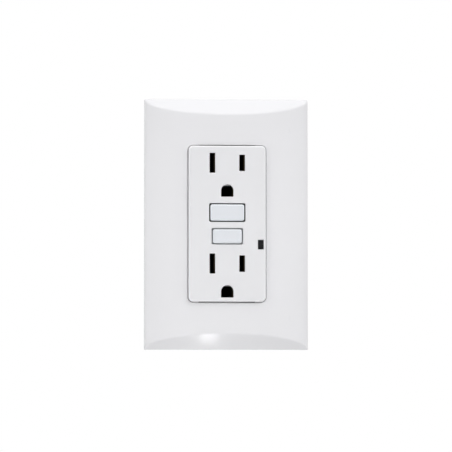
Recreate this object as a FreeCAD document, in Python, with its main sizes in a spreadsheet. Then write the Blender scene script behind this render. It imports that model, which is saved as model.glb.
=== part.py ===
import FreeCAD
import Part
import Sketcher
import math
import os
import types

# A duplex receptacle with a ground fault interrupter, in its wall plate.
# X is to the right, Z is up, and the face looks along -Y. The wall's surface is the plane Y = 0,
# and the origin is the centre of the two box screws.

Vector = FreeCAD.Vector
doc = FreeCAD.newDocument("OutletAssembly")
sheet = doc.addObject("Spreadsheet::Sheet", "Sizes")

SIZES = {
    # wall plate
    "plate_side_margin": 14.0,
    "plate_end_margin": 11.83,
    "plate_rim": 1.8,
    "plate_crown": 5.2,
    "plate_slant": 6.8,
    "plate_wall": 1.8,
    "plate_gap": 0.25,
    "plate_post_radius": 2.2,
    "plate_plug_radius": 1.4,
    "plate_post_inset": 9.0,
    # sub-plate
    "subplate_side_inset": 7.0,
    "subplate_end_inset": 4.5,
    "subplate_thick": 1.2,
    "subplate_gap": 0.7,
    "subplate_foot": 4.0,
    # face
    "shoulder_side_rim": 4.5,
    "shoulder_end_rim": 2.05,
    "face_proud_height": 1.2,
    "face_wall": 1.8,
    "face_side_wall": 1.6,
    "face_corner": 2.0,
    "face_edge": 0.8,
    # body behind the face
    "body_width": 42.0,
    "body_wall": 1.8,
    "body_corner": 3.0,
    "shoulder_front": 3.3,
    "shoulder_wall": 1.8,
    "middle_front": 0.3,
    "deck_wall": 1.4,
    "rear_gap": 1.6,
    "rear_wall": 1.6,
    # receptacle pattern
    "blade_pitch": 12.7,
    "slot_width": 2.4,
    "neutral_slot": 8.5,
    "hot_slot": 7.0,
    "slot_end_gap": 3.1,
    "ground_end_gap": 4.4,
    "ground_spacing": 11.85,
    "ground_radius": 2.65,
    "ground_flat": 2.6,
    "blade_reach": 18.4,
    "blade_gap": 0.8,
    "ground_pin_extra": 3.1,
    # buttons and indicator
    "reset_height": 4.7,
    "reset_width": 14.4,
    "reset_tall": 6.9,
    "test_height": 5.4,
    "test_width": 12.3,
    "test_tall": 5.9,
    "button_gap": 0.55,
    "button_proud": 0.5,
    "button_flange": 0.9,
    "button_lip": 1.0,
    "button_edge": 0.6,
    "button_skin": 2.0,
    "reset_neck": 0.4,
    "reset_spring_radius": 2.6,
    "reset_spring_wire": 0.5,
    "test_post_radius": 1.2,
    "test_leaf_front": 0.9,
    "test_leaf_thick": 0.4,
    "test_leaf_width": 4.0,
    "test_leaf_foot": 2.6,
    "test_leaf_inset": 0.5,
    "test_leaf_short": 1.5,
    "test_contact_radius": 0.8,
    "test_contact_rise": 1.0,
    "reset_pop": 1.5,
    "test_press": 1.2,
    "lens_inset": 2.2,
    "lens_height": 8.9,
    "lens_width": 2.5,
    "lens_tall": 4.1,
    "lens_gap": 0.1,
    # strap
    "strap_thick": 1.3,
    "strap_end_length": 8.33,
    "strap_ear_inset": 1.5,
    "strap_side_inset": 2.5,
    "strap_rail_width": 5.0,
    "strap_bar": 10.2,
    "strap_gap": 0.2,
    "strap_corner": 3.0,
    "strap_neck_gap": 0.5,
    "strap_bar_rise": 0.7,
    "strap_slot_room": 6.1,
    "strap_ground_room": 5.3,
    "strap_lens_rim": 1.0,
    # ground contacts and ground terminal
    "ground_grip": 2.4,
    "ground_leaf": 0.6,
    "ground_leaf_tall": 4.4,
    "ground_plate_thick": 0.7,
    "ground_plate_tall": 7.4,
    "ground_rivet_side": 4.5,
    "ground_rivet_radius": 0.8,
    "ground_rivet_head": 0.4,
    "ground_plate_edge": 1.2,
    "ground_screw_inset": 8.0,
    "ground_screw_depth": 7.0,
    "ground_tab_width": 9.0,
    "ground_tab_length": 12.5,
    "ground_tab_gap": 4.0,
    "ground_wire_room": 1.6,
    "ground_washer_thick": 0.8,
    "ground_tip_proud": 1.0,
    # fasteners
    "box_screw_gap": 6.37,
    "box_screw_reach": 20.0,
    "box_screw_head": 3.4,
    "head_thick": 1.9,
    "screw_radius": 1.75,
    "screw_neck_radius": 1.45,
    "driver_slot": 1.0,
    "driver_depth": 0.9,
    "washer_radius": 4.2,
    "retainer_radius": 2.15,
    "retainer_thick": 0.5,
    "case_screw_radius": 1.25,
    "case_screw_head": 2.3,
    "case_screw_inset": 4.4,
    "case_screw_skin": 0.4,
    "case_screw_tip_gap": 0.2,
    "boss_radius": 2.4,
    "fit": 0.05,
    "clearance": 0.3,
    # receptacle contacts
    "brass_thick": 0.8,
    "branch_width": 5.0,
    "contact_tab_tall": 4.0,
    "fixed_contact_proud": 0.6,
    "cell_gap": 0.2,
    "cell_wall": 0.8,
    "cell_room": 10.0,
    "well_wall": 0.75,
    "well_gap": 0.2,
    "well_room": 5.5,
    "well_lead": 3.0,
    "blade_grip": 1.7,
    "leaf_front_gap": 0.8,
    "leaf_rear": 5.0,
    "leaf_length": 8.0,
    "strip_front": 1.0,
    "fixed_contact_radius": 1.5,
    # terminals
    "terminal_height": 20.0,
    "window_rim": 0.6,
    "terminal_tall": 9.0,
    "terminal_thick": 1.0,
    "terminal_recess_depth": 3.0,
    "terminal_head": 3.7,
    "wire_room": 2.4,
    "clamp_thick": 1.0,
    "clamp_tall": 8.0,
    "rib_thick": 1.0,
    "line_bar_inner": 1.3,
    "line_bar_thick": 1.4,
    "line_bar_width": 3.0,
    "line_strip_width": 3.0,
    "hook_wall": 0.5,
    "hook_below": 1.6,
    "hook_above": 1.4,
    "hook_mouth": 1.4,
    "hook_lap": 0.5,
    "wire_hole_play": 0.4,
    "window_play": 0.5,
    "wire_hole_round": 0.8,
    # mechanism
    "arm_side": 6.0,
    "arm_button": 0.55,
    "arm_tip": 1.8,
    "boss_wall": 1.2,
    "reset_boss_front": 3.0,
    "test_stand_front": 2.0,
    "test_stand_above": 3.4,
    "test_stand_below": 6.6,
    "test_stand_width": 6.0,
    "guide_rise": 2.8,
    "guide_proud": 0.7,
    "nose_low": 3.0,
    "nose_high": 1.0,
    "latch_width": 6.0,
    "latch_gap": 4.1,
    "latch_play": 0.15,
    "latch_rear_gap": 1.7,
    "latch_tail": 0.5,
    "arm_width": 3.0,
    "arm_thick": 0.6,
    "arm_gap": 2.2,
    "arm_root": 19.0,
    "knuckle_radius": 0.9,
    "carriage_half": 9.0,
    "carriage_gap": 0.6,
    "carriage_thick": 5.2,
    "carriage_low": 3.5,
    "carriage_high": 9.5,
    "carriage_drop": 1.8,
    "guide_radius": 1.0,
    "guide_side": 7.5,
    "breaker_spring_play": 0.5,
    "breaker_spring_wire": 0.4,
    "reset_pin_radius": 1.5,
    "latch_cover": 1.7,
    "latch_thick": 0.8,
    "latch_stroke": 1.5,
    # solenoid
    "plunger_offset": 0.9,
    "armature_gap": 6.1,
    "solenoid_length": 15.8,
    "solenoid_end_gap": 2.1,
    "yoke_thick": 1.2,
    "yoke_width": 9.0,
    "yoke_leg": 3.0,
    "cheek_inset": 0.2,
    "coil_radius": 4.4,
    "flange_radius": 4.6,
    "flange_thick": 1.0,
    "bobbin_bore": 2.1,
    "bobbin_wall": 0.5,
    "plunger_radius": 1.9,
    "plunger_rod": 1.1,
    "plunger_spring_long": 4.2,
    "plunger_spring_radius": 1.55,
    "plunger_spring_wire": 0.35,
    # transformers
    "core_inner": 4.3,
    "core_outer": 7.3,
    "core_thick": 3.0,
    "core_case_wall": 0.8,
    "core_front_gap": 0.7,
    "core_gap": 0.1,
    "core_space": 0.4,
    # circuit board
    "board_front_gap": 1.5,
    "board_thick": 1.6,
    "board_waist_gap": 0.8,
    "board_side_gap": 0.4,
    "board_end_gap": 1.0,
    "board_shoulder": 13.0,
    # parts on the board
    "lead_radius": 0.3,
    "lead_overlap": 0.2,
    "chip_side": 3.0,
    "chip_height": 2.0,
    "chip_thick": 1.8,
    "chip_width": 4.0,
    "chip_tall": 5.0,
    "tall_parts_drop": 11.5,
    "thyristor_radius": 2.3,
    "thyristor_top": 6.4,
    "thyristor_foot": 1.8,
    "thyristor_flat": 1.2,
    "thyristor_lead": 1.3,
    "varistor_side": 8.4,
    "varistor_radius": 3.8,
    "varistor_thick": 3.2,
    "varistor_rise": 4.6,
    "varistor_lead": 0.8,
    "capacitor_side": 8.4,
    "capacitor_radius": 3.0,
    "capacitor_top": 9.0,
    "capacitor_foot": 0.5,
    "capacitor_lead": 1.2,
    "axial_side_gap": 4.8,
    "axial_rise": 2.2,
    "axial_offset": 0.5,
    "axial_bend": 0.8,
    "axial_wire": 0.35,
    "resistor_radius": 1.1,
    "resistor_length": 5.4,
    "resistor_pitch": 4.0,
    "diode_radius": 1.3,
    "diode_length": 4.6,
    "diode_pitch": 4.5,
    "lens_rise": 5.0,
    "lens_sunk": 0.1,
    "led_radius": 1.5,
    "led_rim_radius": 1.8,
    "led_rim_thick": 1.0,
    "led_foot": 1.6,
    "led_lead": 0.9,
    "board_post_inset": 3.4,
    "board_post_radius": 1.6,
}

for row, (alias, number) in enumerate(SIZES.items(), start=1):
    sheet.set(f"A{row}", alias)
    sheet.set(f"B{row}", str(number))
    sheet.setAlias(f"B{row}", alias)
doc.recompute()


class Size:
    """A length that holds its number and the sheet formula that gives it."""

    def __init__(self, number, formula):
        self.number = number
        self.formula = formula

    def __float__(self):
        return float(self.number)

    def __neg__(self):
        return Size(-self.number, f"(0 - {self.formula})")

    def __add__(self, other):
        return Size(self.number + float(other), f"({self.formula} + {formula_of(other)})")

    def __sub__(self, other):
        return Size(self.number - float(other), f"({self.formula} - {formula_of(other)})")

    def __mul__(self, other):
        return Size(self.number * float(other), f"({self.formula} * {formula_of(other)})")

    def __truediv__(self, other):
        return Size(self.number / float(other), f"({self.formula} / {formula_of(other)})")

    def root(self):
        return Size(math.sqrt(self.number), f"sqrt({self.formula})")


def formula_of(amount):
    return amount.formula if isinstance(amount, Size) else f"({amount})"


s = types.SimpleNamespace(**{alias: Size(number, f"Sizes.{alias}") for alias, number in SIZES.items()})
ZERO = Size(0.0, "0")
OVER = Size(1.0, "1")
TOUCHING = 1e-6
PARTS = []
TURNS = {
    "x": FreeCAD.Rotation(Vector(0, 1, 0), 90),
    "y": FreeCAD.Rotation(Vector(1, 0, 0), -90),
    "z": FreeCAD.Rotation(),
}


def bind(item, prop, amount):
    item.setExpression(prop, formula_of(amount))


def place(item, spot, turn="z"):
    item.Placement = FreeCAD.Placement(Vector(*map(float, spot)), TURNS[turn])
    for axis, amount in zip("xyz", spot):
        bind(item, f"Placement.Base.{axis}", amount)
    return item


def part(item, label):
    """Names a finished sub-part."""
    item.Label = label
    PARTS.append(item)
    return item


def around(centre, width):
    """The two ends of a width about a centre."""
    return centre - width / 2, centre + width / 2


def across(side, low, high):
    """The same stretch on the right, side 1, or on the left, side -1."""
    return (low, high) if side > 0 else (-high, -low)


def block(name, x, y, z):
    """A box between two ends on each axis."""
    item = doc.addObject("Part::Box", name)
    for prop, (low, high) in zip(("Length", "Width", "Height"), (x, y, z)):
        bind(item, prop, high - low)
    return place(item, (x[0], y[0], z[0]))


def rod(name, axis, spot, reach, radius):
    """A round bar along an axis: it starts at spot and is reach long."""
    item = doc.addObject("Part::Cylinder", name)
    bind(item, "Radius", radius)
    bind(item, "Height", reach)
    return place(item, spot, axis)


def rod_y(name, x, z, ends, radius):
    return rod(name, "y", (x, ends[0], z), ends[1] - ends[0], radius)


def join(name, *shapes):
    item = doc.addObject("Part::MultiFuse", name)
    item.Shapes = list(shapes)
    item.Refine = True
    return item


def cut(name, base, *tools):
    item = doc.addObject("Part::Cut", name)
    item.Base = base
    item.Tool = tools[0] if len(tools) == 1 else join(f"{name}_tools", *tools)
    item.Refine = True
    return item


def overlap(name, *shapes):
    item = doc.addObject("Part::MultiCommon", name)
    item.Shapes = list(shapes)
    return item


def straight_edges(shape, axis):
    """The numbers of the straight edges that run along an axis."""
    found = []
    for number, edge in enumerate(shape.Edges, start=1):
        if isinstance(edge.Curve, Part.Line) and abs(edge.Curve.Direction.dot(axis)) > 1 - TOUCHING:
            found.append(number)
    return found


def round_edges(name, base, radius, chosen):
    """Rounds the edges that a function picks from the finished shape."""
    doc.recompute()
    item = doc.addObject("Part::Fillet", name)
    item.Base = base
    item.Edges = [(number, float(radius), float(radius)) for number in chosen(base.Shape)]
    return item


def slab(name, x, y, z, radius):
    """A box whose four edges along Y are rounded."""
    base = block(f"{name}_block", x, y, z)
    return round_edges(name, base, radius, lambda shape: straight_edges(shape, Vector(0, 1, 0)))


def plane_of(body, role):
    return next(item for item in body.Origin.OriginFeatures if item.Role == role)


def start_body(label):
    return part(doc.addObject("PartDesign::Body", label), label)


def start_sketch(body, role, offset=ZERO):
    sketch = body.newObject("Sketcher::SketchObject", f"{body.Name}_sketch")
    sketch.AttachmentSupport = [(plane_of(body, role), "")]
    sketch.MapMode = "FlatFace"
    bind(sketch, "AttachmentOffset.Base.z", offset)
    return sketch


def pin_point(sketch, shape_number, point, spot):
    """Ties a point of the sketch to its two coordinates."""
    for kind, amount, axis in (("DistanceX", spot[0], -2), ("DistanceY", spot[1], -1)):
        if float(amount) == 0.0:
            sketch.addConstraint(Sketcher.Constraint("PointOnObject", shape_number, point, axis))
        else:
            rule = Sketcher.Constraint(kind, -1, 1, shape_number, point, float(amount))
            number = sketch.addConstraint(rule)
            sketch.setExpression(f"Constraints[{number}]", formula_of(amount))


def outline(sketch, corners):
    """A closed outline through corners whose places are tied to the sizes."""
    first = sketch.GeometryCount
    spots = [Vector(float(across_x), float(up), 0) for across_x, up in corners]
    for index, spot in enumerate(spots):
        sketch.addGeometry(Part.LineSegment(spot, spots[(index + 1) % len(spots)]))
    for index, corner in enumerate(corners):
        after = first + (index + 1) % len(corners)
        sketch.addConstraint(Sketcher.Constraint("Coincident", first + index, 2, after, 1))
        pin_point(sketch, first + index, 1, corner)


def rectangle(sketch, x, z):
    outline(sketch, [(x[0], z[0]), (x[1], z[0]), (x[1], z[1]), (x[0], z[1])])


def circle(sketch, spot, radius):
    centre = Vector(float(spot[0]), float(spot[1]), 0)
    number = sketch.addGeometry(Part.Circle(centre, Vector(0, 0, 1), float(radius)))
    pin_point(sketch, number, 3, spot)
    rule = sketch.addConstraint(Sketcher.Constraint("Radius", number, float(radius)))
    sketch.setExpression(f"Constraints[{rule}]", formula_of(radius))


def pad(body, sketch, reach):
    item = body.newObject("PartDesign::Pad", f"{body.Name}_pad")
    item.Profile = sketch
    bind(item, "Length", reach)
    sketch.Visibility = False
    return item


def plate_body(label, y, draw):
    """A flat plate across Y: draw fills its sketch, whose axes are X and Z."""
    body = start_body(label)
    sketch = start_sketch(body, "XZ_Plane", -y[1])
    draw(sketch)
    pad(body, sketch, y[1] - y[0])
    return body


# Lengths that follow from others, from the mechanism outwards.
s.solenoid_low = s.carriage_high + s.armature_gap
s.solenoid_high = s.solenoid_low + s.solenoid_length
body_inner_height = s.solenoid_high + s.solenoid_end_gap
s.body_height = (body_inner_height + s.body_wall) * 2
s.face_height = s.body_height - s.shoulder_end_rim * 2
s.box_spacing = s.body_height + s.box_screw_gap * 2
s.strap_height = s.box_spacing + s.strap_end_length * 2
s.plate_height = s.box_spacing + s.plate_end_margin * 2
s.subplate_height = s.plate_height - s.subplate_end_inset * 2
s.board_height = (body_inner_height - s.board_end_gap) * 2
s.upper_slots = s.face_height / 2 - s.slot_end_gap - s.neutral_slot / 2
s.lower_slots = s.face_height / 2 - s.ground_end_gap - s.ground_spacing

body_inner_side = s.body_width / 2 - s.body_wall
s.face_width = s.body_width - s.shoulder_side_rim * 2
s.lens_side = s.face_width / 2 - s.lens_inset
s.strap_width = s.body_width - s.strap_side_inset * 2
s.strap_window = s.strap_width - s.strap_rail_width * 2
s.strap_ear = s.strap_width - s.strap_ear_inset * 2
s.plate_width = s.body_width + s.plate_side_margin * 2
s.subplate_width = s.plate_width - s.subplate_side_inset * 2
s.terminal_outside = s.body_width / 2 - s.terminal_recess_depth
s.board_width = (body_inner_side - s.board_side_gap) * 2
s.axial_side = body_inner_side - s.axial_side_gap

s.face_front = s.plate_rim + s.plate_crown + s.face_proud_height
s.leaf_front = s.face_front - s.face_wall - s.leaf_front_gap
s.middle_rear = s.blade_reach - s.face_front + s.blade_gap + s.deck_wall
s.terminal_depth = s.middle_rear + s.window_rim + s.window_play + s.terminal_tall / 2
s.arm_depth = s.middle_rear + s.arm_gap
s.carriage_front = s.arm_depth + s.arm_thick + s.carriage_gap
s.carriage_rear = s.carriage_front + s.carriage_thick
s.latch_depth = s.carriage_front + s.latch_cover
s.solenoid_depth = s.latch_depth + s.latch_thick / 2 + s.plunger_offset

# Levels in front of the wall are negative Y, levels behind it are positive.
plate_top = -(s.plate_rim + s.plate_crown)
strap_front = -s.strap_thick
subplate_front = strap_front - s.subplate_thick
subplate_inner_side = s.body_width / 2 + s.subplate_gap
post_side = (subplate_inner_side + s.subplate_width / 2) / 2
post_height = s.subplate_height / 2 - s.plate_post_inset
face_inner = -s.face_front + s.face_wall
shoulder_inner = -s.shoulder_front + s.shoulder_wall
deck_front = s.middle_rear - s.deck_wall
blade_side = s.blade_pitch / 2
upper_ground = s.upper_slots - s.ground_spacing
lower_ground = -s.lower_slots - s.ground_spacing
box_screw_height = s.box_spacing / 2
case_screw_side = s.body_width / 2 - s.case_screw_inset
case_screw_height = s.body_height / 2 - s.case_screw_inset
ground_leaf_outer = s.ground_grip + s.ground_leaf
ground_screw_side = -s.strap_ear / 2 + s.ground_screw_inset
ground_tab_low = -s.body_height / 2 - s.ground_tab_gap
reset_opening = (s.reset_width + s.button_gap * 2, s.reset_tall + s.button_gap * 2)
test_opening = (s.test_width + s.button_gap * 2, s.test_tall + s.button_gap * 2)
ground_well_rear = s.blade_reach - s.face_front + s.ground_pin_extra
contact_inner = blade_side - s.blade_grip / 2
contact_outer = blade_side + s.blade_grip / 2
strip_outer = contact_outer + s.brass_thick
load_branch = (s.leaf_rear - s.brass_thick, s.leaf_rear)
load_branch_z = around(s.terminal_height, s.branch_width)
terminal_inside = s.terminal_outside - s.terminal_thick
clamp_outside = terminal_inside - s.wire_room
clamp_inside = clamp_outside - s.clamp_thick
chamber_side = clamp_inside - s.rib_thick
chamber_reach = s.terminal_tall / 2 + s.rib_thick
arm_rear = s.arm_depth + s.arm_thick
fixed_contact_rear = s.arm_depth - s.arm_button - s.fit
contact_tab_rear = fixed_contact_rear - s.fixed_contact_proud
knuckle_depth = s.arm_depth + s.arm_thick / 2
hook_rear = knuckle_depth + s.knuckle_radius + s.hook_wall
core_front = hook_rear + s.core_front_gap
core_case_outer = s.core_outer + s.core_gap + s.core_case_wall
core_case_inner = s.core_inner - s.core_gap - s.core_case_wall
core_case_rear = core_front + s.core_thick * 2 + s.core_case_wall * 2
core_height = body_inner_height - core_case_outer - s.clearance
line_strip = (core_case_rear + s.clearance, core_case_rear + s.clearance + s.brass_thick)
line_strip_z = (-core_height - s.line_strip_width, -core_height)
link_top = -s.terminal_height - s.terminal_tall / 2 + s.terminal_thick
s.board_waist = (chamber_side - s.board_waist_gap) * 2
s.board_front = line_strip[1] + s.board_front_gap
rear_inner = s.board_front + s.board_thick + s.rear_gap
s.rear_depth = rear_inner + s.rear_wall
case_screw_seat = s.rear_depth - s.head_thick
case_screw_reach = case_screw_seat + s.shoulder_front - s.case_screw_skin - s.case_screw_tip_gap
test_stand_z = (-s.test_height - s.test_stand_below, -s.test_height + s.test_stand_above)
guide_height = s.reset_height + s.guide_rise
latch_end = s.solenoid_low - s.latch_gap


def crown_prism(name, half_width, centre, reach):
    """A bar along Z whose section is the ellipse of the plate's crown."""
    section = doc.addObject("Part::Ellipse", f"{name}_section")
    bind(section, "MajorRadius", half_width)
    bind(section, "MinorRadius", s.plate_crown)
    place(section, (ZERO, centre, -reach))
    bar = doc.addObject("Part::Extrusion", name)
    bar.Base = section
    bar.DirMode = "Custom"
    bar.Dir = Vector(0, 0, 1)
    bind(bar, "LengthFwd", reach * 2)
    bar.Solid = True
    return bar


def slanted_prism(name, wall):
    """A bar along X with the plate's side outline, moved in by a wall on every side."""
    slope = s.plate_slant / s.plate_crown
    stretch = (slope * slope + 1).root()
    top = s.plate_height / 2 - wall
    front = s.plate_rim + s.plate_crown + OVER
    bend = s.plate_rim - wall * (stretch - 1) / slope
    tip = top - slope * (front - bend)
    body = doc.addObject("PartDesign::Body", name)
    sketch = start_sketch(body, "YZ_Plane", -(s.plate_width / 2 + OVER))
    outline(sketch, [(wall, -top), (wall, top), (-bend, top), (-front, tip), (-front, -tip),
                     (-bend, -top)])
    pad(body, sketch, s.plate_width + OVER * 2)
    return body


def make_wall_plate():
    half_width = s.plate_width / 2
    half_height = s.plate_height / 2
    rim = block("plate_rim_block", (-half_width, half_width), (-s.plate_rim, ZERO),
                (-half_height, half_height))
    crown = crown_prism("plate_crown_bar", half_width, -s.plate_rim, half_height)
    front_only = block("plate_front_room", (-half_width, half_width),
                       (plate_top - OVER, ZERO), (-half_height, half_height))
    outside = overlap("plate_outside", join("plate_rim_and_crown", rim, crown), front_only,
                      slanted_prism("plate_ends", ZERO))
    inner_crown = crown_prism("plate_inner_bar", half_width - s.plate_wall,
                              -s.plate_rim + s.plate_wall, half_height)
    inside = overlap("plate_inside", inner_crown, slanted_prism("plate_inner_ends", s.plate_wall))
    opening = slab("plate_opening", around(ZERO, s.face_width + s.plate_gap * 2),
                   (plate_top - OVER, OVER),
                   around(ZERO, s.face_height + s.plate_gap * 2), s.face_corner + s.plate_gap)
    shell = cut("plate_shell", outside, inside, opening)
    posts = []
    for side in (1, -1):
        for end in (1, -1):
            spot = (post_side * side, post_height * end)
            name = f"plate_post_{side + 1}{end + 1}"
            posts.append(rod_y(name, *spot, (plate_top, subplate_front - s.fit), s.plate_post_radius))
            posts.append(rod_y(f"{name}_plug", *spot, (plate_top, strap_front - s.fit),
                               s.plate_plug_radius))
    kept = overlap("plate_posts", join("plate_post_bars", *posts),
                   overlap("plate_posts_room", outside.Shapes[0], outside.Shapes[2]))
    part(join("wall_plate", shell, kept), "wall_plate")


def make_sub_plate():
    half_width = s.subplate_width / 2
    half_height = s.subplate_height / 2

    def draw(sketch):
        rectangle(sketch, (-half_width, half_width), (-half_height, half_height))
        rectangle(sketch, around(ZERO, s.body_width + s.subplate_gap * 2),
                  around(ZERO, s.body_height + s.subplate_gap * 2))
        for end in (1, -1):
            circle(sketch, (ZERO, box_screw_height * end), s.screw_radius + s.clearance)
            for side in (1, -1):
                circle(sketch, (post_side * side, post_height * end),
                       s.plate_plug_radius + s.fit)

    body = plate_body("sub_plate", (subplate_front, strap_front), draw)
    feet = body.newObject("Sketcher::SketchObject", "sub_plate_feet")
    feet.AttachmentSupport = [(plane_of(body, "XZ_Plane"), "")]
    feet.MapMode = "FlatFace"
    for side in (1, -1):
        for end in (1, -1):
            x = across(side, half_width - s.subplate_foot, half_width)
            z = across(end, half_height - s.subplate_foot, half_height)
            rectangle(feet, x, z)
    pad(body, feet, s.strap_thick)


def make_mounting_strap():
    half_ear = s.strap_ear / 2
    half_width = s.strap_width / 2
    half_height = s.strap_height / 2
    neck = body_inner_height - s.strap_neck_gap
    corner = s.strap_corner
    window = around(ZERO, s.strap_window)
    upper_bar = around(upper_ground + s.strap_bar_rise, s.strap_bar)

    def draw(sketch):
        right = [(half_ear, half_height - corner), (half_ear, neck), (half_width, neck),
                 (half_width, -neck), (half_ear, -neck), (half_ear, -half_height + corner),
                 (half_ear - corner, -half_height)]
        left = [(-x, z) for x, z in reversed(right)]
        top = [(-(half_ear - corner), half_height), (half_ear - corner, half_height)]
        outline(sketch, right + left + top)
        rectangle(sketch, window, (upper_bar[1], s.upper_slots + s.strap_slot_room))
        rectangle(sketch, window, (lower_ground + s.strap_ground_room, upper_bar[0]))
        for side in (1, -1):
            for end in (1, -1):
                circle(sketch, (case_screw_side * side, case_screw_height * end),
                       s.case_screw_radius + s.fit)
        for end in (1, -1):
            circle(sketch, (ZERO, box_screw_height * end), s.screw_radius + s.fit)

    plate = plate_body("strap_sheet", (strap_front, ZERO), draw)
    PARTS.remove(plate)
    cuts = [
        block("strap_lens_notch",
              (s.strap_window / 2 - s.strap_lens_rim, s.lens_side + s.lens_width / 2 + s.clearance),
              (strap_front - OVER, OVER), around(-s.lens_height, s.lens_tall + s.clearance * 2)),
    ]
    for name, height in (("upper", upper_ground), ("lower", lower_ground)):
        cuts.append(block(f"strap_{name}_ground_hole", around(ZERO, ground_leaf_outer * 2 + s.clearance * 2),
                          (strap_front - OVER, OVER), around(height, s.ground_leaf_tall + s.clearance * 2)))
        for side in (1, -1):
            cuts.append(rod_y(f"strap_{name}_rivet_{side + 1}", s.ground_rivet_side * side, height,
                              (strap_front - OVER, OVER), s.ground_rivet_radius + s.fit))
    tab = block("strap_ground_tab", around(ground_screw_side, s.ground_tab_width),
                (ZERO, s.ground_tab_length), (ground_tab_low, ground_tab_low + s.strap_thick))
    hole = rod("strap_ground_hole", "z", (ground_screw_side, s.ground_screw_depth, ground_tab_low - OVER),
               s.strap_thick + OVER * 2, s.screw_radius + s.fit)
    sheet_with_tab = join("strap_with_tab", plate, tab)
    part(cut("mounting_strap", sheet_with_tab, hole, *cuts), "mounting_strap")


def make_face_cover():
    half_width = s.face_width / 2
    half_height = s.face_height / 2
    front_block = slab("face_block", (-half_width, half_width), (-s.face_front, shoulder_inner),
                       (-half_height, half_height), s.face_corner)
    face = round_edges("face_rounded", front_block, s.face_edge, front_edges)
    shoulder = slab("face_shoulder", around(ZERO, s.body_width), (-s.shoulder_front, s.middle_front),
                    around(ZERO, s.body_height), s.body_corner)
    hollow = block("face_hollow", (-half_width + s.face_side_wall, half_width - s.face_side_wall),
                   (face_inner, s.middle_front + OVER),
                   (-half_height + s.face_side_wall, half_height - s.face_side_wall))
    tray = block("face_tray", (-body_inner_side, body_inner_side), (shoulder_inner, s.middle_front + OVER),
                 (-body_inner_height, body_inner_height))
    notch = block("face_strap_notch", around(ZERO, s.strap_ear + s.clearance * 2),
                  (strap_front - s.strap_gap, s.middle_front + OVER),
                  around(ZERO, s.body_height + OVER * 2))
    openings = [hollow, tray, notch]
    through = (-s.face_front - OVER, s.middle_front + OVER)
    for name, height in (("upper", s.upper_slots), ("lower", -s.lower_slots)):
        for side, length in ((1, s.hot_slot), (-1, s.neutral_slot)):
            openings.append(block(f"face_{name}_slot_{side + 1}", around(blade_side * side, s.slot_width),
                                  through, around(height, length)))
    for name, height in (("upper", upper_ground), ("lower", lower_ground)):
        openings.append(rod_y(f"face_{name}_ground_arc", ZERO, height, through, s.ground_radius))
        openings.append(block(f"face_{name}_ground_flat", around(ZERO, s.ground_radius * 2), through,
                              (height - s.ground_flat, height)))
    for name, height, opening in (("reset", s.reset_height, reset_opening),
                                  ("test", -s.test_height, test_opening)):
        openings.append(slab(f"face_{name}_opening", around(ZERO, opening[0]), through,
                             around(height, opening[1]), s.button_edge))
    openings.append(block("face_lens_opening", around(s.lens_side, s.lens_width), through,
                          around(-s.lens_height, s.lens_tall)))
    for side in (1, -1):
        for end in (1, -1):
            openings.append(rod_y(f"face_screw_{side + 1}{end + 1}", case_screw_side * side,
                                  case_screw_height * end,
                                  (-s.shoulder_front + s.case_screw_skin, s.middle_front),
                                  s.case_screw_radius + s.fit))
    part(cut("face_cover", join("face_outside", face, shoulder), *openings), "face_cover")


def front_edges(shape):
    """The edges of the foremost face."""
    front = shape.BoundBox.YMin
    return [number for number, edge in enumerate(shape.Edges, start=1)
            if edge.BoundBox.YMax < front + TOUCHING]


# Places that several pieces of the body share.


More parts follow.
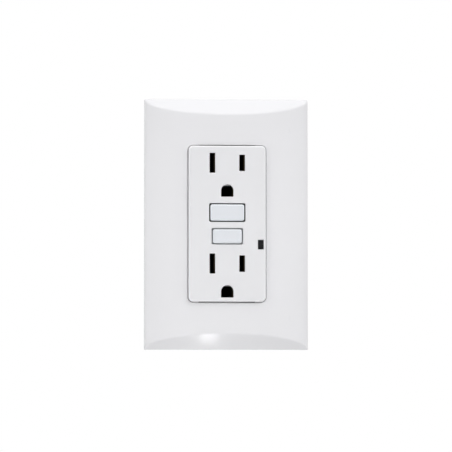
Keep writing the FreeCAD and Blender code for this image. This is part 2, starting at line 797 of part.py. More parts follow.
def make_middle_housing():
    outside = slab("middle_block", around(ZERO, s.body_width), (s.middle_front, s.middle_rear),
                   around(ZERO, s.body_height), s.body_corner)
    hollow = block("middle_hollow", (-body_inner_side, body_inner_side),
                   (s.middle_front - OVER, deck_front), (-body_inner_height, body_inner_height))
    added = []
    removed = []
    through = (-s.face_front, s.rear_depth)
    for side in (1, -1):
        for end in (1, -1):
            spot = (case_screw_side * side, case_screw_height * end)
            name = f"middle_boss_{side + 1}{end + 1}"
            added.append(rod_y(name, *spot, (s.middle_front, s.middle_rear), s.boss_radius))
            removed.append(rod_y(f"{name}_hole", *spot, through, s.case_screw_radius + s.fit))
    for name, height in (("upper", upper_ground), ("lower", lower_ground)):
        low = height - s.ground_flat - s.well_gap
        high = height + s.ground_radius + s.well_gap
        added.append(block(f"middle_{name}_well", around(ZERO, s.well_room + s.well_wall * 2),
                           (deck_front - s.well_lead, ground_well_rear + s.well_wall),
                           (low - s.well_wall, high + s.well_wall)))
        removed.append(block(f"middle_{name}_well_room", around(ZERO, s.well_room),
                             (s.middle_front - OVER, ground_well_rear), (low, high)))
    for side in (1, -1):
        for name, height in (("upper", s.upper_slots), ("lower", -s.lower_slots)):
            low = contact_inner - s.brass_thick - s.cell_gap
            high = strip_outer + s.cell_gap
            added.append(block(f"middle_{name}_cell_{side + 1}",
                               across(side, low - s.cell_wall, high + s.cell_wall),
                               (s.leaf_rear + s.cell_gap, s.middle_rear),
                               around(height, s.cell_room + s.cell_wall * 2)))
            removed.append(block(f"middle_{name}_cell_room_{side + 1}", across(side, low, high),
                                 (s.middle_front - OVER, deck_front), around(height, s.cell_room)))
        removed.append(block(f"middle_fixed_contact_slot_{side + 1}",
                             across(side, contact_outer - s.clearance, strip_outer + s.clearance),
                             through, around(ZERO, s.contact_tab_tall + s.clearance * 2)))
        removed.append(block(f"middle_load_slot_{side + 1}",
                             across(side, terminal_inside - s.clearance, s.terminal_outside + s.clearance),
                             through, around(s.terminal_height, s.branch_width + s.clearance * 2)))
    boss = rod_y("middle_reset_boss", ZERO, s.reset_height, (s.reset_boss_front, s.middle_rear),
                 s.reset_pin_radius + s.fit * 2 + s.boss_wall)
    stand = block("middle_test_stand", around(ZERO, s.test_stand_width),
                  (s.test_stand_front, s.middle_rear), test_stand_z)
    removed.append(rod_y("middle_reset_bore", ZERO, s.reset_height, through,
                         s.reset_pin_radius + s.fit * 2))
    removed.append(block("middle_lens_window", around(s.lens_side, s.lens_width + s.clearance), through,
                         around(-s.lens_height, s.lens_tall + s.clearance)))
    guides = [rod_y(f"middle_guide_{side + 1}", s.guide_side * side, guide_height,
                    (deck_front, s.carriage_rear + s.carriage_drop + s.guide_proud), s.guide_radius)
              for side in (1, -1)]
    shell = cut("middle_shell", outside, hollow)
    filled = join("middle_filled", shell, boss, stand, *guides, *added)
    part(cut("middle_housing", filled, *removed), "middle_housing")


def make_rear_housing():
    outside = slab("rear_block", around(ZERO, s.body_width), (s.middle_rear, s.rear_depth),
                   around(ZERO, s.body_height), s.body_corner)
    hollow = block("rear_hollow", (-body_inner_side, body_inner_side),
                   (s.middle_rear - OVER, rear_inner), (-body_inner_height, body_inner_height))
    added = []
    removed = []
    depth = (s.middle_rear, rear_inner)
    for side in (1, -1):
        for end in (1, -1):
            name = f"{side + 1}{end + 1}"
            spot = (case_screw_side * side, case_screw_height * end)
            added.append(rod_y(f"rear_boss_{name}", *spot, depth, s.boss_radius))
            removed.append(rod_y(f"rear_boss_hole_{name}", *spot,
                                 (s.middle_rear - OVER, s.rear_depth + OVER),
                                 s.case_screw_radius + s.fit))
            removed.append(rod_y(f"rear_head_room_{name}", *spot, (case_screw_seat, s.rear_depth + OVER),
                                 s.case_screw_head + s.fit))
            added.append(rod_y(f"rear_post_{name}", (s.board_waist / 2 - s.board_post_inset) * side,
                               (s.board_height / 2 - s.board_post_inset) * end,
                               (s.board_front + s.board_thick, rear_inner), s.board_post_radius))
            low = s.terminal_height - chamber_reach
            high = s.terminal_height + chamber_reach
            added.append(block(f"rear_rib_{name}", across(side, chamber_side, chamber_side + s.rib_thick),
                               depth, across(end, low, high)))
            for label, start in (("low", low), ("high", high - s.rib_thick)):
                added.append(block(f"rear_rib_{label}_{name}", across(side, chamber_side, body_inner_side),
                                   depth, across(end, start, start + s.rib_thick)))
            removed.append(block(f"rear_window_{name}",
                                 across(side, body_inner_side - OVER, s.body_width / 2 + OVER),
                                 around(s.terminal_depth, s.terminal_tall + s.window_play * 2),
                                 around(s.terminal_height * end, s.terminal_tall + s.window_play * 2)))
            for step in (1, -1):
                removed.append(slab(f"rear_wire_hole_{name}{step + 1}",
                                    across(side, clamp_outside - s.wire_hole_play,
                                           terminal_inside + s.wire_hole_play),
                                    (rear_inner - OVER, s.rear_depth + OVER),
                                    around(s.terminal_height * end + s.screw_radius * 2 * step,
                                           s.wire_room + s.wire_hole_play * 2), s.wire_hole_round))
    removed.append(block("rear_line_slot", around(ZERO, (s.terminal_outside + s.clearance) * 2),
                         (line_strip[0] - s.clearance, line_strip[1] + s.clearance),
                         (line_strip_z[0] - s.clearance, line_strip_z[1] + s.clearance)))
    for side in (1, -1):
        removed.append(block(f"rear_link_slot_{side + 1}",
                             across(side, terminal_inside - s.clearance, s.terminal_outside + s.clearance),
                             (s.terminal_depth - s.clearance, line_strip[1] + s.clearance),
                             (line_strip_z[0] - s.clearance, link_top + s.clearance)))
    shell = cut("rear_shell", outside, hollow)
    part(cut("rear_housing", join("rear_filled", shell, *added), *removed), "rear_housing")


def make_ground_contacts():
    for name, height in (("upper", upper_ground), ("lower", lower_ground)):
        half_plate = s.ground_rivet_side + s.ground_plate_edge
        pieces = [block(f"ground_{name}_plate", (-half_plate, half_plate), (ZERO, s.ground_plate_thick),
                        around(height, s.ground_plate_tall))]
        for side in (1, -1):
            pieces.append(block(f"ground_{name}_leaf_{side + 1}",
                                across(side, s.ground_grip, ground_leaf_outer),
                                (-s.leaf_front, s.leaf_rear), around(height, s.ground_leaf_tall)))
            pieces.append(rod_y(f"ground_{name}_rivet_{side + 1}", s.ground_rivet_side * side, height,
                                (strap_front - s.ground_rivet_head, ZERO), s.ground_rivet_radius))
        room = block(f"ground_{name}_room", (-s.ground_grip, s.ground_grip),
                     (-s.leaf_front - OVER, s.leaf_rear + OVER),
                     around(height, s.ground_leaf_tall + OVER))
        part(cut(f"ground_contact_{name}", join(f"ground_{name}_solid", *pieces), room),
             f"ground_contact_{name}")


def make_load_contacts():
    for side, label in ((1, "hot"), (-1, "neutral")):
        name = f"load_{label}"
        lowest = -s.lower_slots - s.cell_room / 2 - s.cell_gap * 2
        highest = s.upper_slots + s.cell_room / 2 + s.cell_gap * 2
        strip_x = across(side, contact_outer, strip_outer)
        pieces = [block(f"{name}_strip", strip_x, (s.strip_front, s.leaf_rear), (lowest, highest))]
        for end, height in (("upper", s.upper_slots), ("lower", -s.lower_slots)):
            leaf_z = around(height, s.leaf_length)
            leaf_y = (-s.leaf_front, s.leaf_rear)
            pieces.append(block(f"{name}_{end}_outer_leaf", strip_x, leaf_y, leaf_z))
            turn = highest if end == "upper" else lowest
            inner_z = (leaf_z[0], turn) if end == "upper" else (turn, leaf_z[1])
            inner_x = across(side, contact_inner - s.brass_thick, contact_inner)
            pieces.append(block(f"{name}_{end}_inner_leaf", inner_x, leaf_y, leaf_z))
            pieces.append(block(f"{name}_{end}_inner_strip", inner_x, (s.strip_front, s.leaf_rear), inner_z))
            bridge_z = (turn - s.brass_thick, turn) if end == "upper" else (turn, turn + s.brass_thick)
            pieces.append(block(f"{name}_{end}_bridge",
                                across(side, contact_inner - s.brass_thick, strip_outer),
                                (s.strip_front, s.leaf_rear), bridge_z))
        pieces.append(block(f"{name}_branch", across(side, contact_outer, s.terminal_outside),
                            load_branch, load_branch_z))
        pieces.append(block(f"{name}_riser", across(side, terminal_inside, s.terminal_outside),
                            (load_branch[0], s.terminal_depth), load_branch_z))
        pieces.append(terminal_plate(name, side, s.terminal_height))
        tab_z = around(ZERO, s.contact_tab_tall)
        tab_y = (contact_tab_rear - s.brass_thick, contact_tab_rear)
        pieces.append(block(f"{name}_contact_riser", strip_x, (load_branch[0], tab_y[1]), tab_z))
        pieces.append(block(f"{name}_contact_tab", across(side, contact_inner - s.brass_thick, strip_outer),
                            tab_y, tab_z))
        pieces.append(rod_y(f"{name}_contact_button", s.arm_side * side, ZERO,
                            (tab_y[0], fixed_contact_rear), s.fixed_contact_radius))
        hole = terminal_hole(name, side, s.terminal_height)
        part(cut(f"{name}_contact", join(f"{name}_solid", *pieces), hole), f"{name}_contact")


def terminal_plate(name, side, height):
    return block(f"{name}_lug", across(side, terminal_inside, s.terminal_outside),
                 around(s.terminal_depth, s.terminal_tall), around(height, s.terminal_tall))


def terminal_hole(name, side, height):
    ends = across(side, terminal_inside - OVER, s.terminal_outside + OVER)
    return rod(f"{name}_terminal_hole", "x", (ends[0], s.terminal_depth, height), ends[1] - ends[0],
               s.screw_radius + s.fit * 2)


def make_line_terminals():
    for side, label in ((1, "hot"), (-1, "neutral")):
        name = f"line_{label}"
        bar_x = across(side, s.line_bar_inner, s.line_bar_inner + s.line_bar_thick)
        bar_z = around(-core_height, s.line_bar_width)
        front = (hook_rear - s.brass_thick, hook_rear)
        hook_z = (-s.arm_root - s.hook_below, -s.arm_root + s.hook_above)
        hook_x = across(side, s.arm_side - s.arm_width / 2, s.arm_side + s.arm_width / 2)
        pieces = [
            terminal_plate(name, side, -s.terminal_height),
            block(f"{name}_link", across(side, terminal_inside, s.terminal_outside),
                  (s.terminal_depth, line_strip[1]),
                  (line_strip_z[0], link_top)),
            block(f"{name}_strip", across(side, s.line_bar_inner, s.terminal_outside),
                  line_strip, line_strip_z),
            block(f"{name}_bar", bar_x, (front[0], line_strip[1]), bar_z),
            block(f"{name}_front", across(side, s.line_bar_inner, s.arm_side + s.arm_width / 2),
                  front, (bar_z[0], hook_z[0] + s.hook_lap)),
            block(f"{name}_hook", hook_x,
                  (knuckle_depth - s.knuckle_radius - s.hook_wall, hook_rear), hook_z),
        ]
        start = hook_x[0] - OVER
        bore = rod(f"{name}_bore", "x", (start, knuckle_depth, -s.arm_root), s.arm_width + OVER * 2,
                   s.knuckle_radius + s.fit)
        mouth = block(f"{name}_mouth", (start, hook_x[1] + OVER), around(knuckle_depth, s.hook_mouth),
                      (-s.arm_root, hook_z[1] + OVER))
        hole = terminal_hole(name, side, -s.terminal_height)
        part(cut(f"{name}_terminal", join(f"{name}_solid", *pieces), hole, bore, mouth),
             f"{name}_terminal")



def slotted_screw(name, axis, spot, toward, head_radius, radius, reach):
    """A screw whose head's underside is at spot and whose head points toward the positive axis or
    away from it. The shank reaches the other way."""
    index = "xyz".index(axis)
    head_spot = list(spot)
    shank_spot = list(spot)
    slot_spot = list(spot)
    if toward > 0:
        shank_spot[index] = spot[index] - reach
        slot_spot[index] = spot[index] + s.head_thick - s.driver_depth
    else:
        head_spot[index] = spot[index] - s.head_thick
        slot_spot[index] = spot[index] - s.head_thick - OVER
    head = rod(f"{name}_head", axis, tuple(head_spot), s.head_thick, head_radius)
    shank = rod(f"{name}_shank", axis, tuple(shank_spot), reach, radius)
    slot_ends = [around(amount, head_radius * 2 + OVER) for amount in spot]
    slot_ends[index] = (slot_spot[index], slot_spot[index] + s.driver_depth + OVER)
    narrow = "xyz".index("z" if axis != "z" else "x")
    slot_ends[narrow] = around(spot[narrow], s.driver_slot)
    return cut(name, join(f"{name}_solid", head, shank), block(f"{name}_slot", *slot_ends))


def make_fasteners():
    neck_rear = -s.fit
    box_screws = []
    washers = []
    for end in (1, -1):
        height = box_screw_height * end
        necked = slotted_screw(f"box_screw_{end + 1}", "y", (ZERO, subplate_front, height), -1,
                               s.box_screw_head, s.screw_neck_radius, -subplate_front + neck_rear)
        thread = rod_y(f"box_screw_thread_{end + 1}", ZERO, height, (neck_rear, s.box_screw_reach),
                       s.screw_radius)
        box_screws += [necked, thread]
        disc = rod_y(f"washer_disc_{end + 1}", ZERO, height, (ZERO, s.retainer_thick), s.retainer_radius)
        hole = rod_y(f"washer_hole_{end + 1}", ZERO, height, (-OVER, s.retainer_thick + OVER),
                     s.screw_radius + s.fit)
        washers.append(cut(f"washer_{end + 1}", disc, hole))
    part(join("mounting_screws", *box_screws), "mounting_screws")
    part(join("retaining_washers", *washers), "retaining_washers")
    case_screws = []
    for side in (1, -1):
        for end in (1, -1):
            case_screws.append(slotted_screw(
                f"case_screw_{side + 1}{end + 1}", "y",
                (case_screw_side * side, case_screw_seat, case_screw_height * end), 1,
                s.case_screw_head, s.case_screw_radius, case_screw_reach))
    part(join("housing_screws", *case_screws), "housing_screws")


def make_terminal_screws():
    for end, line in ((-1, "line"), (1, "load")):
        for side, label in ((1, "hot"), (-1, "neutral")):
            name = f"{line}_{label}"
            height = s.terminal_height * end
            seat = (s.terminal_outside + s.fit) * side
            reach = s.terminal_outside + s.fit - clamp_inside - s.fit * 4
            screw = slotted_screw(f"{name}_screw", "x", (seat, s.terminal_depth, height), side,
                                  s.terminal_head, s.screw_radius, reach)
            part(screw, f"{name}_screw")
            clamp = block(f"{name}_clamp_plate", across(side, clamp_inside, clamp_outside),
                          around(s.terminal_depth, s.clamp_tall), around(height, s.clamp_tall))
            ends = across(side, clamp_inside - OVER, clamp_outside + OVER)
            hole = rod(f"{name}_clamp_hole", "x", (ends[0], s.terminal_depth, height),
                       ends[1] - ends[0], s.screw_radius + s.fit)
            part(cut(f"{name}_clamp", clamp, hole), f"{name}_clamp")


def make_ground_screw():
    spot = (ground_screw_side, s.ground_screw_depth)
    washer_low = ground_tab_low - s.ground_wire_room - s.ground_washer_thick
    disc = rod("ground_washer_disc", "z", (*spot, washer_low), s.ground_washer_thick, s.washer_radius)
    hole = rod("ground_washer_hole", "z", (*spot, washer_low - OVER), s.ground_washer_thick + OVER * 2,
               s.screw_radius + s.fit)
    part(cut("ground_washer", disc, hole), "ground_washer")
    reach = s.ground_washer_thick + s.ground_wire_room + s.strap_thick + s.ground_tip_proud
    part(slotted_screw("ground_screw", "z", (*spot, washer_low - s.fit), -1, s.terminal_head,
                       s.screw_radius, reach), "ground_screw")


def make_contact_arms():
    for side, label in ((1, "hot"), (-1, "neutral")):
        name = f"{label}_arm"
        x = around(s.arm_side * side, s.arm_width)
        blade = block(f"{name}_blade", x, (s.arm_depth, arm_rear), (-s.arm_root, s.arm_tip))
        knuckle = rod(f"{name}_knuckle", "x", (x[0], knuckle_depth, -s.arm_root), s.arm_width,
                      s.knuckle_radius)
        button = rod_y(f"{name}_button", s.arm_side * side, ZERO, (fixed_contact_rear + s.fit, arm_rear),
                       s.fixed_contact_radius)
        part(join(f"{name}_solid", blade, knuckle, button), f"{label}_contact_arm")


def make_buttons():
    front = -s.face_front - s.button_proud
    reset_lip = (face_inner + s.reset_pop + s.fit * 2, face_inner + s.reset_pop + s.fit * 2 + s.button_lip)
    test_lip = (face_inner + s.fit, face_inner + s.fit + s.button_lip)
    for name, height, width, tall, lip in (
            ("reset", s.reset_height, s.reset_width, s.reset_tall, reset_lip),
            ("test", -s.test_height, s.test_width, s.test_tall, test_lip)):
        cap = block(f"{name}_cap", around(ZERO, width), (front, lip[1]), around(height, tall))
        soft = round_edges(f"{name}_cap_rounded", cap, s.button_edge,
                           lambda shape: sorted(set(straight_edges(shape, Vector(0, 1, 0)))
                                                | set(front_edges(shape))))
        flange = block(f"{name}_flange", around(ZERO, width + s.button_gap * 2 + s.button_flange), lip,
                       around(height, tall + s.button_gap * 2 + s.button_flange))
        pieces = [soft, flange]
        if name == "test":
            pieces.append(rod_y("test_post", ZERO, height, (lip[0], -s.test_leaf_front - s.fit),
                                s.test_post_radius))
            part(join("test_button", *pieces), "test_button")
        else:
            hole = rod_y("reset_pin_socket", ZERO, height, (front + s.button_skin, lip[1] + OVER),
                         s.reset_pin_radius + s.fit)
            part(cut("reset_button", join("reset_solid", *pieces), hole), "reset_button")
    pin = rod_y("reset_pin_bar", ZERO, s.reset_height,
                (front + s.button_skin, s.carriage_rear + s.latch_tail),
                s.reset_pin_radius)
    neck_ends = (s.latch_depth - s.latch_thick, s.latch_depth + s.latch_thick * 2)
    groove = cut("reset_pin_groove",
                 rod_y("reset_groove_disc", ZERO, s.reset_height, neck_ends, s.reset_pin_radius + OVER),
                 rod_y("reset_groove_core", ZERO, s.reset_height, neck_ends,
                       s.reset_pin_radius - s.reset_neck))
    part(cut("reset_pin", pin, groove), "reset_pin")
    make_spring("reset_spring", "y", (ZERO, reset_lip[1], s.reset_height),
                s.reset_boss_front - reset_lip[1], s.reset_spring_radius, s.reset_spring_wire, 5)


def make_spring(label, axis, spot, reach, radius, wire, turns):
    """A wound spring that fills reach from spot along the axis."""
    body = start_body(label)
    sketch = start_sketch(body, "XZ_Plane")
    circle(sketch, (radius, wire / 2 + s.fit), wire / 2)
    coil = body.newObject("PartDesign::AdditiveHelix", f"{label}_coil")
    coil.Profile = sketch
    coil.ReferenceAxis = (sketch, ["V_Axis"])
    coil.Mode = "height-turns-growth"
    bind(coil, "Height", reach - wire - s.fit * 2)
    coil.Turns = turns
    sketch.Visibility = False
    return place(body, spot, axis)


def make_test_contacts():
    leaf_x = around(ZERO, s.test_leaf_width)
    foot_rear = s.test_stand_front
    foot_low = test_stand_z[0] + s.test_leaf_inset
    riser_z = (foot_low + s.test_leaf_foot, foot_low + s.test_leaf_foot + s.test_leaf_thick)
    top_y = (-s.test_leaf_front, -s.test_leaf_front + s.test_leaf_thick)
    pieces = [
        block("test_leaf_foot", leaf_x, (foot_rear - s.test_leaf_thick, foot_rear),
              (foot_low, riser_z[1])),
        block("test_leaf_riser", leaf_x, (top_y[0], foot_rear), riser_z),
        block("test_leaf_top", leaf_x, top_y, (riser_z[0], test_stand_z[1] - s.test_leaf_short)),
    ]
    part(join("test_leaf_solid", *pieces), "test_spring")
    part(rod_y("test_contact_rivet", ZERO, -s.test_height + s.test_contact_rise,
               (top_y[1] + s.test_press + s.fit * 2, foot_rear), s.test_contact_radius), "test_contact")


def make_carriage():
    x = (-s.carriage_half, s.carriage_half)
    main = block("carriage_block", x, (s.carriage_front, s.carriage_rear),
                 (-s.carriage_low, s.carriage_high))
    noses = [block(f"carriage_nose_{side + 1}", around(s.arm_side * side, s.arm_width),
                   (arm_rear + s.fit, s.carriage_front), (-s.nose_low, -s.nose_high))
             for side in (1, -1)]
    through = (s.carriage_front - OVER, s.carriage_rear + OVER)
    bores = [rod_y("carriage_bore", ZERO, s.reset_height, through, s.reset_pin_radius + s.fit * 2)]
    for side in (1, -1):
        bores.append(rod_y(f"carriage_guide_{side + 1}", s.guide_side * side, guide_height, through,
                           s.guide_radius + s.fit))
        make_spring(f"breaker_spring_{'right' if side > 0 else 'left'}", "y",
                    (s.guide_side * side, s.middle_rear, guide_height),
                    s.carriage_front - s.middle_rear, s.guide_radius + s.breaker_spring_play,
                    s.breaker_spring_wire, 3)
    latch_low = -s.carriage_low + s.latch_rear_gap + s.latch_stroke
    slot = block("carriage_latch_slot", around(ZERO, s.latch_width + s.latch_play * 2),
                 (s.latch_depth - s.latch_play, s.latch_depth + s.latch_thick + s.latch_play),
                 (latch_low - s.latch_stroke - s.clearance, s.carriage_high + OVER))
    part(cut("carriage_cut", join("carriage_solid", main, *noses), slot, *bores), "contact_carriage")

    def draw(sketch):
        half = s.latch_width / 2
        rectangle(sketch, (-half, half), (latch_low, latch_end))
        room = s.reset_pin_radius + s.latch_play
        rectangle(sketch, (-room, room),
                  (s.reset_height - room, s.reset_height + room + s.latch_stroke))

    plate_body("latch_plate", (s.latch_depth, s.latch_depth + s.latch_thick), draw)


def make_solenoid():
    axis_spot = (ZERO, s.solenoid_depth)
    inner_low = s.solenoid_low + s.yoke_thick
    inner_high = s.solenoid_high - s.yoke_thick
    yoke_rear = s.solenoid_depth + s.flange_radius + s.clearance
    x = around(ZERO, s.yoke_width)
    cheek_front = s.solenoid_depth - s.coil_radius + s.cheek_inset
    leg_x = around(ZERO, s.yoke_leg)
    frame = join(
        "solenoid_frame_solid",
        block("frame_low", x, (cheek_front, yoke_rear), (s.solenoid_low, inner_low)),
        block("frame_high", x, (cheek_front, yoke_rear), (inner_high, s.solenoid_high)),
        block("frame_yoke", x, (yoke_rear, yoke_rear + s.yoke_thick), (s.solenoid_low, s.solenoid_high)),
        block("frame_leg_low", leg_x, (yoke_rear, s.board_front),
              (s.solenoid_low, inner_low)),
        block("frame_leg_high", leg_x, (yoke_rear, s.board_front),
              (inner_high, s.solenoid_high)))
    hole = rod("frame_hole", "z", (*axis_spot, s.solenoid_low - OVER), s.yoke_thick + OVER * 2,
               s.plunger_rod + s.clearance)
    part(cut("solenoid_frame_cut", frame, hole), "solenoid_frame")

    bobbin = join(
        "bobbin_solid",
        rod("bobbin_tube", "z", (*axis_spot, inner_low), inner_high - inner_low,
            s.bobbin_bore + s.bobbin_wall),
        rod("bobbin_low", "z", (*axis_spot, inner_low), s.flange_thick, s.flange_radius),
        rod("bobbin_high", "z", (*axis_spot, inner_high - s.flange_thick), s.flange_thick,
            s.flange_radius))
    bore = rod("bobbin_bore", "z", (*axis_spot, inner_low - OVER), inner_high - inner_low + OVER * 2,
               s.bobbin_bore)
    part(cut("bobbin_cut", bobbin, bore), "solenoid_bobbin")

    coil_low = inner_low + s.flange_thick
    coil_long = inner_high - inner_low - s.flange_thick * 2
    part(cut("coil_cut", rod("coil_outside", "z", (*axis_spot, coil_low), coil_long, s.coil_radius),
             rod("coil_inside", "z", (*axis_spot, coil_low - OVER), coil_long + OVER * 2,
                 s.bobbin_bore + s.bobbin_wall)), "solenoid_coil")

    shoulder = inner_low + s.plunger_spring_long
    plunger = join(
        "plunger_solid",
        rod("plunger_bar", "z", (*axis_spot, shoulder), inner_high - shoulder - s.clearance,
            s.plunger_radius),
        rod("plunger_tip", "z", (*axis_spot, latch_end + s.fit * 2), shoulder - latch_end - s.fit * 2,
            s.plunger_rod))
    part(plunger, "plunger")
    make_spring("plunger_spring", "z", (*axis_spot, inner_low), shoulder - inner_low,
                s.plunger_spring_radius, s.plunger_spring_wire, 4)


def make_transformers():
    spot = (ZERO, -core_height)

    def ring(name, ends, outer, inner):
        disc = rod_y(f"{name}_disc", *spot, ends, outer)
        return cut(name, disc, rod_y(f"{name}_hole", *spot, (ends[0] - OVER, ends[1] + OVER), inner))

    case_ends = (core_front, core_case_rear)
    shell = ring("transformer_shell", case_ends, core_case_outer, core_case_inner)
    room = ring("transformer_room", (core_front + s.core_case_wall, core_case_rear + OVER),
                s.core_outer + s.core_gap, s.core_inner - s.core_gap)
    part(cut("transformer_case_cut", shell, room), "transformer_case")
    first = core_front + s.core_case_wall
    second = first + s.core_thick + s.core_space
    part(ring("sense_ring", (first, first + s.core_thick), s.core_outer, s.core_inner), "sense_core")
    part(ring("neutral_ring", (second, second + s.core_thick), s.core_outer, s.core_inner),
         "neutral_core")


def lead_pair(name, side, height, spread, start):
    return [rod_y(f"{name}_lead_{end + 1}", side + spread * end, height, (start, s.board_front),
                  s.lead_radius)
            for end in (1, -1)]


def axial_part(name, side, height, radius, length):
    """A cylinder lying on the board, whose wire is bent down into it at both ends."""
    axis_y = s.board_front - s.axial_rise
    wire_half = length / 2 + s.axial_bend
    barrel = rod(f"{name}_barrel", "x", (side - length / 2, axis_y, height), length, radius)
    wire = rod(f"{name}_wire", "x", (side - wire_half, axis_y, height), wire_half * 2, s.axial_wire)
    return join(name, barrel, wire,
                *lead_pair(name, side, height, wire_half - s.axial_bend / 2, axis_y))


def make_board():
    half_waist = s.board_waist / 2
    half_width = s.board_width / 2
    half_height = s.board_height / 2

    def draw(sketch):
        right = [(half_waist, half_height), (half_waist, s.board_shoulder),
                 (half_width, s.board_shoulder), (half_width, -s.board_shoulder),
                 (half_waist, -s.board_shoulder), (half_waist, -half_height)]
        outline(sketch, right + [(-x, z) for x, z in reversed(right)])

    plate_body("circuit_board", (s.board_front, s.board_front + s.board_thick), draw)


def make_board_parts():
    front = s.board_front
    part(block("chip_block", around(s.chip_side, s.chip_width), (front - s.chip_thick, front),
               around(s.chip_height, s.chip_tall)), "controller_chip")

    row = -s.tall_parts_drop
    can = rod_y("thyristor_can", ZERO, row, (front - s.thyristor_top, front - s.thyristor_foot),
                s.thyristor_radius)
    flat = block("thyristor_flat", around(ZERO, s.thyristor_radius * 3),
                 (front - s.thyristor_top - OVER, front),
                 (row + s.thyristor_flat, row + s.thyristor_radius * 2))
    middle_lead = rod_y("thyristor_lead", ZERO, row, (front - s.thyristor_foot - s.lead_overlap, front),
                        s.lead_radius)
    part(join("thyristor_solid", cut("thyristor_body", can, flat), middle_lead,
              *lead_pair("thyristor", ZERO, row, s.thyristor_lead,
                         front - s.thyristor_foot - s.lead_overlap)), "thyristor")

    disc = rod("varistor_disc", "x",
               (-s.varistor_side - s.varistor_thick / 2, front - s.varistor_rise, row),
               s.varistor_thick, s.varistor_radius)
    part(join("varistor_solid", disc, *lead_pair("varistor", -s.varistor_side, row, s.varistor_lead,
                                                 front - s.varistor_rise)), "varistor")

    can = rod_y("capacitor_can", s.capacitor_side, row,
                (front - s.capacitor_top, front - s.capacitor_foot), s.capacitor_radius)
    part(join("capacitor_solid", can, *lead_pair("capacitor", s.capacitor_side, row, s.capacitor_lead,
                                                 front - s.capacitor_foot - s.lead_overlap)),
         "capacitor")

    resistors = []
    diodes = []
    for index in range(3):
        height = s.resistor_pitch * index - s.axial_offset
        resistors.append(axial_part(f"resistor_{index + 1}", s.axial_side, height, s.resistor_radius,
                                    s.resistor_length))
        height = s.diode_pitch * index - s.axial_offset
        diodes.append(axial_part(f"diode_{index + 1}", -s.axial_side, height, s.diode_radius,
                                 s.diode_length))
    part(join("resistor_group", *resistors), "resistors")
    part(join("diode_group", *diodes), "diodes")


def make_indicator():
    lens_rear = s.board_front - s.lens_rise
    part(block("indicator_lens_pipe", around(s.lens_side, s.lens_width - s.lens_gap * 2),
               (-s.face_front + s.lens_sunk, lens_rear),
               around(-s.lens_height, s.lens_tall - s.lens_gap * 2)), "indicator_lens")
    foot = s.board_front - s.led_foot
    dome = rod_y("led_dome", s.lens_side, -s.lens_height, (lens_rear + s.clearance, foot), s.led_radius)
    rim = rod_y("led_rim", s.lens_side, -s.lens_height, (foot - s.led_rim_thick, foot),
                s.led_rim_radius)
    part(join("led_solid", dome, rim, *lead_pair("led", s.lens_side, -s.lens_height, s.led_lead,
                                                 foot - s.lead_overlap)), "indicator_led")


for make in (make_wall_plate, make_sub_plate, make_mounting_strap, make_face_cover,
             make_middle_housing, make_rear_housing, make_ground_contacts, make_load_contacts,
             make_line_terminals, make_fasteners, make_terminal_screws, make_ground_screw,
             make_contact_arms, make_buttons, make_test_contacts, make_carriage, make_solenoid,
             make_transformers, make_board, make_board_parts, make_indicator):
    make()
doc.recompute()

faulty = [item.Label for item in doc.Objects if {"Invalid", "Error"} & set(item.State)]
faulty += [item.Label for item in PARTS if item.Shape.isNull() or not item.Shape.isValid()]
if faulty:
    raise RuntimeError(f"These did not build: {faulty}")

os.makedirs("parts", exist_ok=True)
for item in PARTS:
    item.Shape.exportStep(f"parts/{item.Label}.step")
    print(item.Label, round(item.Shape.Volume, 1), len(item.Shape.Solids))
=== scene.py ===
import math

import bmesh
import bpy
from mathutils import Euler, Matrix, Vector


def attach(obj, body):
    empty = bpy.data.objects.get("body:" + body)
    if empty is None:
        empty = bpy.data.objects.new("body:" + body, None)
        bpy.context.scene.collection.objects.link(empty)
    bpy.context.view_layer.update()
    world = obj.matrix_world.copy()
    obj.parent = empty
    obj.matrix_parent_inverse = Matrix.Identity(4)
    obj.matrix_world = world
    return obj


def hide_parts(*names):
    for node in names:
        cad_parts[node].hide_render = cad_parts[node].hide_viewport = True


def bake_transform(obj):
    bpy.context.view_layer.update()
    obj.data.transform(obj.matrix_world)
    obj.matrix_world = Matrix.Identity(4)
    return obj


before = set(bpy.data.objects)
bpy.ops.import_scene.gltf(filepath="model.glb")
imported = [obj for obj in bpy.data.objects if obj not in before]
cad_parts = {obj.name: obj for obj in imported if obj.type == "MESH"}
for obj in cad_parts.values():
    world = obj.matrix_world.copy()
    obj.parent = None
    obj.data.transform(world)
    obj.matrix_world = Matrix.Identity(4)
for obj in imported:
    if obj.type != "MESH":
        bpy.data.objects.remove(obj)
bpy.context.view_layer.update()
print("frame loaded:", len(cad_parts), "solids")

# Everything below is in millimetres in the CAD frame: X right, Z up, the face looks along -Y.
mm = 0.001
quarterTurn = math.pi / 2
corners = [(1, 1), (1, -1), (-1, 1), (-1, -1)]  # side, then end: 1 is right and up
turnTo = {"y": (-quarterTurn, 0, 0), "z": (0, 0, 0)}  # from Z to a rod's own axis
slightTurn, sharpTurn = 0.3, 0.9  # radians between the two faces of an edge
flatTurn = math.radians(0.5)
weldRoom = 1e-7
planeRoom = 0.02  # an edge this near to a level counts as on it
past = 1  # a cutter reaches this far past what it cuts


def clearSelection():
    bpy.ops.object.select_all(action="DESELECT")


def makeActive(piece):
    clearSelection()
    piece.select_set(True)
    bpy.context.view_layer.objects.active = piece


# names a piece and puts its place into its mesh
def settle(piece, name):
    piece.name = piece.data.name = name
    makeActive(piece)
    bpy.ops.object.transform_apply(location=True, rotation=True, scale=True)
    return piece


# one more of a piece, with a mesh of its own
def copyOf(piece, name):
    twin = piece.copy()
    twin.data = piece.data.copy()
    bpy.context.scene.collection.objects.link(twin)
    twin.parent = None
    twin.name = twin.data.name = name
    return twin


def discard(*pieces):
    for piece in pieces:
        bpy.data.objects.remove(piece)


# two ends on both sides of a centre
def span(centre, width):
    return (centre - width / 2, centre + width / 2)


def across(half):
    return (-half, half)


